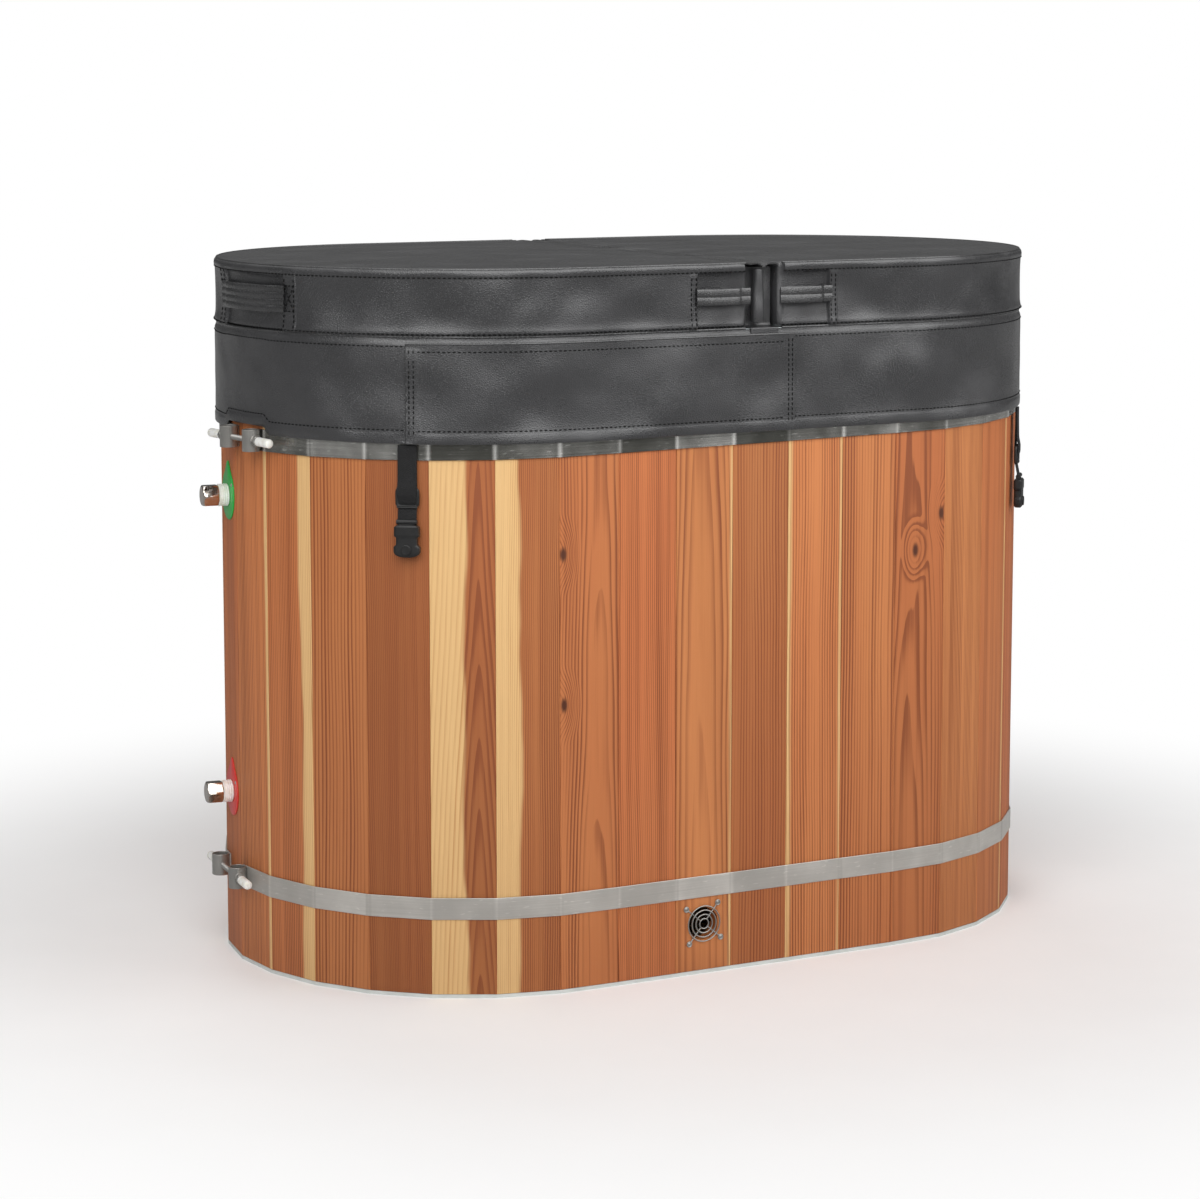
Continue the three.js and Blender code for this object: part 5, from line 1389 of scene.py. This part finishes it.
# %% Strip, tabs and webs of the fold
VALLEY, STRIP_DROP, STRIP_THICK = 5 * MM, 1.2 * MM, 2 * MM
BLEND_HALF = 9 * MM
TAB_WIDE, TAB_BULGE, TAB_LEFT, TAB_BACK = 8, 7 * MM, 4 * MM, 8 * MM  # half width in millimetres, bulge, place
WEB_BACK, WEB_FRONT, WEB_SHEET, WEB_ROUND = 18 * MM, 5.2 * MM, 0.9 * MM, (6 * MM, 2 * MM)


def fold_strip():
    """Across the fold: a closed flat section that dips in a shallow valley along the fold line."""
    across = np.linspace(-1, 1, 25)
    dip = VALLEY * np.exp(-(across / 0.22) ** 2) + STRIP_DROP * np.abs(across) ** 4
    x, z = FOLD + across * (FOLD_HALF - 0.6 * MM), PAD_RIM - dip
    section = np.concatenate([np.stack([x, z], axis=1), np.stack([x, z - STRIP_THICK], axis=1)[::-1]])
    y = np.linspace(-1, 1, 60) * (END_RADIUS + MM)
    grid = np.zeros((len(y), len(section), 3))
    grid[..., 0], grid[..., 2], grid[..., 1] = section[:, 0], section[:, 1], y[:, None]
    return skin(grid)


def fold_tab(face):
    """The folded vinyl that closes the gap at the side: an upright strip that bulges and is pinched at both edges."""
    turn = full_turn(24)
    z = np.linspace(PAD_FOOT + 8 * MM, PAD_RIM - 9 * MM, 22)
    wide = (TAB_WIDE + 1.5 * np.sin((z - PAD_FOOT) * 60)) * MM
    x = FOLD - TAB_LEFT + wide[:, None] * np.cos(turn)
    y = face * (END_RADIUS - TAB_BACK + TAB_BULGE * (1 + 0.12 * np.cos(z * 130))[:, None] * np.sin(turn))
    return skin(np.dstack([x, y, np.broadcast_to(z[:, None], x.shape)]))


def fold_web(face):
    """The web behind that strip: a flat section carried down the gap, out over the rim and down behind the flap."""
    low, high, back, front = PAD_FOOT + 1.2 * MM, PAD_RIM - 7 * MM, END_RADIUS - WEB_BACK, END_RADIUS + WEB_FRONT
    inner, outer = WEB_ROUND
    line = np.concatenate([
        [(back, high)], bezier((back, low + inner), (back, low), (back + inner, low)),
        bezier((front - outer, low), (front, low), (front, low - outer)), [(front, RIM_Z - 10 * MM)]])
    behind = line + beside(unit(np.gradient(line, axis=0))) * WEB_SHEET
    grid = np.zeros((len(line), 4, 3))
    grid[..., 0] = FOLD + (FOLD_HALF - 1.5 * MM) * np.array([-1, 1, 1, -1])
    grid[:, :2, 1:], grid[:, 2:, 1:] = line[:, None], behind[:, None]
    return skin(grid * [1, face, 1])


gusset = piece("hinge_gusset", [fold_strip()], trim, None, ["hinge_gusset"])
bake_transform(gusset, "right_cover", "left_cover", (FOLD + BLEND_HALF, 0, 0), (FOLD - BLEND_HALF, 0, 0))
piece("fold_tabs", [part(face) for part in (fold_tab, fold_web) for face in (-1, 1)], vinyl, "right_cover")
print(f"fold {2 * FOLD_HALF / MM:.0f} mm wide at x = {FOLD / MM:.0f} mm")

# %% [markdown]
# ## Handles
# A handle is a folded strap sewn down at both ends, with a finger's room behind it. The end handles have four ridges.
# Each is one closed section carried along the wall, so its ridges follow its bow.

# %% Sewn handles
HANDLE_BOW, HANDLE_SEAT, HANDLE_Z = 5 * MM, 14 * MM, (PAD_FOOT + PAD_RIM) / 2
HANDLE_THICK, RIDGE_HIGH, HANDLE_LIFT = 1.3 * MM, 1.3 * MM, 0.3 * MM
SIDE_HANDLE, SIDE_HANDLE_WIDE = (24 * MM, 107 * MM), 22 * MM  # from the fold
END_HANDLE_HALF, END_HANDLE_WIDE = 83 * MM, 36 * MM


def handle(start, end, width, ridges):
    """A strap along the wall that bows out between its sewn ends; ridges are half waves across its outer face."""
    u = np.linspace(0, 1, 44)[:, None]
    seat = HANDLE_SEAT / abs(end - start)
    free = np.clip((u - seat) / (1 - 2 * seat), 0, 1)
    bow = PAD_OUT + HANDLE_LIFT + HANDLE_BOW * np.minimum(1, 3 * np.sin(math.pi * free))
    v = np.linspace(-1, 1, 33)
    swell = RIDGE_HIGH * np.abs(np.sin(math.pi * ridges * (v + 1) / 2)) ** 0.6
    thick = np.concatenate([HANDLE_THICK + swell, np.zeros(33)])
    across = np.concatenate([v, v[::-1]])
    points, _ = wall(around(start + (end - start) * u + 0 * across), bow + thick)
    return skin(np.dstack([points, np.broadcast_to(HANDLE_Z + across * width / 2, points.shape[:2])]))


for name, side in SIDES:
    near, far = (FOLD + side * gap for gap in SIDE_HANDLE)
    spans = {"front": (near, far, SIDE_HANDLE_WIDE, 2),
             "back": (side * BACK - near, side * BACK - far, SIDE_HANDLE_WIDE, 2),
             "end": (*(side * (END_HANDLE + half * END_HANDLE_HALF) for half in (-1, 1)), END_HANDLE_WIDE, 4)}
    for place, span in spans.items():
        node = f"{name}_{place}_handle"
        piece(node, [handle(*span)], trim, f"{name}_cover", [node])
    print(f"{name} half has {len(spans)} handles")

# %% [markdown]
# ## Webbing and plastic
# The straps are woven webbing: warp and weft are two sine waves on the strap's own flat map, so the weave follows its
# bends. The buckles are black moulded plastic with a sanded skin, a little worn.

# %% Webbing and plastic finishes
WEAVE = (3300, 2100)  # radians for each metre across and along


def webbing_finish():
    """The product of two sine waves across and along the strap raises the yarns."""
    material, start, feed = new_finish("webbing", {"Specular IOR Level": 0.3})
    u, v = start.map()
    warp = start.math("SINE", u * WEAVE[0]) * start.math("SINE", v * WEAVE[1])
    fuzz = start.noise(start.place(), 1500.0, 3.0)
    # the colour follows the weave's rise: a painted highlight on the yarn tops, plus the fibres' own fuzz
    shade = (warp * 0.3 + fuzz * 0.6).step(0.0, 0.8)
    feed(shade.mix(colour(0.006, 0.006, 0.006), colour(0.035, 0.035, 0.036)), 0.62 + fuzz * 0.25,
         start.bump(warp + fuzz, 0.0004, 0.8))
    return material


def plastic_finish():
    """Black plastic, sanded all over and paler where it is worn."""
    material, start, feed = new_finish("black_plastic", {})
    sand = start.noise(start.place(), 1400.0, 3.0)
    wear = start.noise(start.place(), 60.0, 3.0)
    feed(wear.mix(colour(0.006, 0.006, 0.006), colour(0.020, 0.020, 0.020)), 0.34 + wear * 0.2,
         start.bump(sand, 0.0002, 0.5))
    return material


webbing, black_plastic = webbing_finish(), plastic_finish()
print(f"a weave repeats every {2 * math.pi / WEAVE[1] / MM:.1f} mm along the strap")

# %% [markdown]
# ## Straps and tri-glides
# Each strap hangs from the hem: two layers of webbing, and a ribbed tri-glide that shortens it. The joint's own place
# and axis say where it hangs and which way it faces. Points are given as along, out and up at the strap.

# %% Webs and bars
WEB_WIDE, WEB_THICK = 26 * MM, 1.4 * MM
GLIDE_Z, GLIDE_WIDE, GLIDE_TALL, GLIDE_BAR = -69.5 * MM, 33 * MM, 29 * MM, 2.4 * MM
# (out, up) points in millimetres down the outer and the inner layer of a strap
OUTER_LAYER = ((0.8, 0.2), (1.0, -20), (1.6, -45), (3.9, -56), (3.9, -66), (2.2, -72), (-0.6, -80), (-0.4, -84))
INNER_LAYER = ((-0.9, 0.2), (-0.9, -30), (-1.6, -56), (-2.0, -70), (-0.4, -82), (2.4, -96), (4.0, -105.6))
RIBS = (-13.2, -11.2, 11.2, 13.2)  # millimetres from the tri-glide's middle


def squared(turn, cos_power, sin_power):
    """A circle pulled towards a square: its cosine and sine to a power below 1, with their signs kept."""
    cos, sin = np.cos(turn), np.sin(turn)
    return np.sign(cos) * np.abs(cos) ** cos_power, np.sign(sin) * np.abs(sin) ** sin_power


def outward_at(place):
    """The outward direction of a local place."""
    return place((0, 1, 0)) - place((0, 0, 0))


def web(place, line):
    """A flat section with round edges carried down a line of (out, up) points."""
    line = np.asarray(line, float) * MM
    t, knots = np.linspace(0, 1, 30), np.linspace(0, 1, len(line))
    out, up = (np.interp(t, knots, line[:, k]) for k in (0, 1))
    across, thick = squared(full_turn(24), 0.25, 0.6)
    grid = np.dstack(np.broadcast_arrays(WEB_WIDE / 2 * across, out[:, None] + WEB_THICK / 2 * thick, up[:, None]))
    return skin(place(grid), uv=grid[..., [0, 2]])


def bar(place, half, out, up, radius, sides=10):
    """A round bar across the strap: half its length, its place and its radius in millimetres."""
    path = np.linspace((-half, out, up), (half, out, up), 4) * MM
    return tube(place(path), radius * MM, outward_at(place), sides=sides)


def tri_glide(place):
    """A rounded frame with a middle bar, and two ribs across each of its end bars."""
    x, z = squared(full_turn(48), 0.35, 0.35)
    x, z = (GLIDE_WIDE / 2 - GLIDE_BAR) * x, GLIDE_Z + (GLIDE_TALL / 2 - GLIDE_BAR) * z
    path = np.stack([x, np.full_like(x, 0.4 * MM), z], axis=1)
    half, middle = (GLIDE_WIDE / 2 - GLIDE_BAR) / MM, GLIDE_Z / MM
    return [tube(place(path), 2.5 * MM, outward_at(place), closed=True, sides=12), bar(place, half, 0.9, middle, 2.2),
            *(bar(place, half, 2.3, middle + k, 0.9, 8) for k in RIBS)]


print(f"webbing {WEB_WIDE / MM:.0f} mm wide")

# %% [markdown]
# ## Buckles
# A buckle is a moulded shell with pinched sides, a round foot and a round key lock. A squared circle carried down the
# strap gives its pillowed faces, with the width and depth of each row worked out from the distance down the shell.

# %% Buckles
BUCKLE_TOP, BUCKLE_TALL, BUCKLE_WIDE, BUCKLE_THICK, BUCKLE_OUT = -106.3 * MM, 43 * MM, 37 * MM, 13 * MM, 4 * MM
BUCKLE_TAPER, BUCKLE_PINCH, BUCKLE_LIP, BUCKLE_FOOT = 3 * MM, 3.2 * MM, 0.16, 0.80
BUCKLE_ROWS = np.array([0, 0.02, 0.05, *np.linspace(0.09, 0.86, 22), 0.90, 0.94, 0.97, 0.99, 1.0])
LOCK_DOWN = 32.7 * MM
LOCK_PROFILE = ((-1.5, 7.0), (0.9, 7.0), (1.3, 6.4), (1.3, 5.6), (0.6, 5.2), (0.6, 0.8))  # millimetres
YOKE = ((14, 4, -102, 3.4), (10.5, 4, -106, 2.4))  # the tongue's bars: half length, out, up and radius in millimetres


def buckle_shell(place):
    """A pillowed box, wider at its round foot and pinched at its sides: a squared circle carried down the strap."""
    t = BUCKLE_ROWS
    at_foot = t > BUCKLE_FOOT
    wide = (BUCKLE_WIDE - BUCKLE_TAPER * (1 - t)) / 2 - BUCKLE_PINCH * window(t, 0.36, 0.64, 0.03)
    corner = np.sqrt(1 - np.clip((t - BUCKLE_FOOT) / 0.2, 0, 0.985) ** 2) ** 0.7
    lip = 1 - BUCKLE_LIP * rise(t, 0.05, 0.0)
    deep = BUCKLE_THICK / 2 * lip * (0.9 + 0.1 * window(t, 0.03, 0.34, 0.03)) * np.where(at_foot, corner ** 0.5, 1)
    cos, sin = squared(full_turn(40), 0.3, 0.45)
    x = (wide * lip * np.where(at_foot, corner, 1))[:, None] * cos
    out, up = BUCKLE_OUT + deep[:, None] * sin, BUCKLE_TOP - BUCKLE_TALL * t
    return skin(place(np.dstack(np.broadcast_arrays(x, out, up[:, None]))))


def lock_disc(place):
    """A round key lock: a flat disc in a raised ring, as one turned profile."""
    origin = place((0, BUCKLE_OUT + BUCKLE_THICK / 2, BUCKLE_TOP - LOCK_DOWN))
    return turned(np.array(LOCK_PROFILE) * MM, origin, outward_at(place), segments=32)


def strap_place(joint):
    """Along, out and up at a strap: the hinge axis runs against the wall's direction."""
    heading = -np.array(joint["axis"][:2])
    return local(joint["pos_m"], heading, beside(heading))


STRAPS = ("front_left", "back_left", "front_right", "back_right")
for name in STRAPS:
    place = strap_place(joints[f"{name}_swing"])
    webs = [web(place, layer) for layer in (OUTER_LAYER, INNER_LAYER)]
    piece(f"{name}_strap", webs, webbing, f"{name}_strap", [f"{name}_strap"])
    piece(f"{name}_tri_glide", tri_glide(place), black_plastic, f"{name}_strap")
    piece(f"{name}_yoke", [bar(place, *size) for size in YOKE], black_plastic, f"{name}_strap")
    parts = [buckle_shell(place), lock_disc(place)]
    piece(f"{name}_buckle", parts, black_plastic, f"{name}_buckle", [f"{name}_buckle"])
print(f"{len(STRAPS)} straps hang from the hem")

# %% [markdown]
# ## Floor
# The tub stands on a plain pale floor, which fades to the white of the backdrop away from it. Shiny surfaces see the
# floor as a plain grey, so that they do not glare from below.

# %% Floor
FLOOR_SIZE = 40.0
CLEAR_FLOOR = (0.75, 1.7)  # from here to there the floor fades to the white of the backdrop
WHITE, FLOOR_GREY = colour(1.0, 1.0, 1.0), colour(0.3, 0.3, 0.3)


def seen_and_glossy(start):
    """1 for rays from the camera, and 1 for rays off a shiny surface."""
    return start.node("ShaderNodeLightPath").outputs("Is Camera Ray", "Is Glossy Ray")


def pale_floor():
    """The floor's own shade near the tub, white far from it, and grey for shiny surfaces."""
    material, start, feed = new_finish("pale_floor", {"Roughness": 0.9, "Specular IOR Level": 0.1})
    feed(start.noise(start.place(), 6.0).mix(colour(0.90, 0.90, 0.90), colour(0.93, 0.93, 0.93)))
    x, y, _ = start.place().parts()
    far = ((x * x + y * y) ** 0.5).step(*CLEAR_FLOOR)
    nodes = material.node_tree.nodes
    shader = Wire(material.node_tree, nodes["Principled BSDF"].outputs[0])
    seen, glossy = seen_and_glossy(start)
    glow, dim = (start.node("ShaderNodeEmission", {}, {"Color": tint}) for tint in (WHITE, FLOOR_GREY))
    both = start.node("ShaderNodeMixShader", {}, {0: far * seen, 1: shader, 2: glow})
    both = start.node("ShaderNodeMixShader", {}, {0: glossy, 1: both, 2: dim})
    material.node_tree.links.new(both.socket, nodes["Material Output"].inputs["Surface"])
    return material


corners = np.array([(-1, -1, 0), (1, -1, 0), (1, 1, 0), (-1, 1, 0)]) * FLOOR_SIZE / 2
floor_mesh = bpy.data.meshes.new("floor")
floor_mesh.from_pydata(corners, [], [(0, 1, 2, 3)])
floor_mesh.materials.append(pale_floor())
add_object("floor", floor_mesh)
print(f"floor {FLOOR_SIZE:.0f} m across")

# %% [markdown]
# ## Light
# Three large lamps and an even sky keep the light soft and its level plain, so that a colour renders about as it is
# written. Shiny surfaces would show the lamps as hard spots. They see a dim room with a bright ceiling and broad
# windows at the front instead.

# %% Lamps and sky
# place, target, diameter in metres and power in watts
LAMPS = {"key": ((-2.4, -3.4, 3.4), (0, 0, 0.5), 4.6, 166), "fill": ((3.4, -3.0, 2.2), (0, 0, 0.5), 3.8, 68),
         "back": ((0.5, 3.5, 3.0), (0, 0, 0.6), 2.6, 30)}
SKY_LEVEL = 0.42
ROOM_LEVEL, CEILING_LEVEL, CEILING = 0.10, 0.8, (0.34, 0.8)
WINDOW_LEVEL, WINDOW_HEIGHT, WINDOW_SIDE = 2.2, (0.05, 0.4), (0.0, -0.5)


def lamp(name, place, target, size, power):
    """A round lamp turned to its target, which shiny surfaces do not show."""
    data = bpy.data.lights.new(name, "AREA")
    data.shape, data.size, data.energy = "DISK", size, power
    made = add_object(name, data)
    made.location, made.visible_glossy = place, False
    x, y, z = np.array(target) - np.array(place)
    made.rotation_euler = (math.atan2(math.hypot(x, y), -z), 0, math.atan2(y, x) - math.pi / 2)


def even_sky():
    """A white sky: full for the camera, even for the object, and a room with windows for shiny surfaces."""
    world = bpy.data.worlds.new("sky")
    world.use_nodes = True
    start = Wire(world.node_tree)
    seen, glossy = seen_and_glossy(start)
    _, depth, height = start.node("ShaderNodeTexCoord").parts()
    windows = height.step(*WINDOW_HEIGHT) * depth.step(*WINDOW_SIDE)
    room = windows * WINDOW_LEVEL + height.step(*CEILING) * CEILING_LEVEL + ROOM_LEVEL
    strength = seen + (1.0 - seen) * (glossy * room + (1.0 - glossy) * SKY_LEVEL)
    background = world.node_tree.nodes["Background"]
    background.inputs["Color"].default_value = WHITE
    world.node_tree.links.new(strength.socket, background.inputs["Strength"])
    return world


for name, settings in LAMPS.items():
    lamp(name, *settings)
bpy.context.scene.world = even_sky()
bpy.context.scene.view_settings.view_transform = "Standard"
print(f"{len(LAMPS)} lamps")
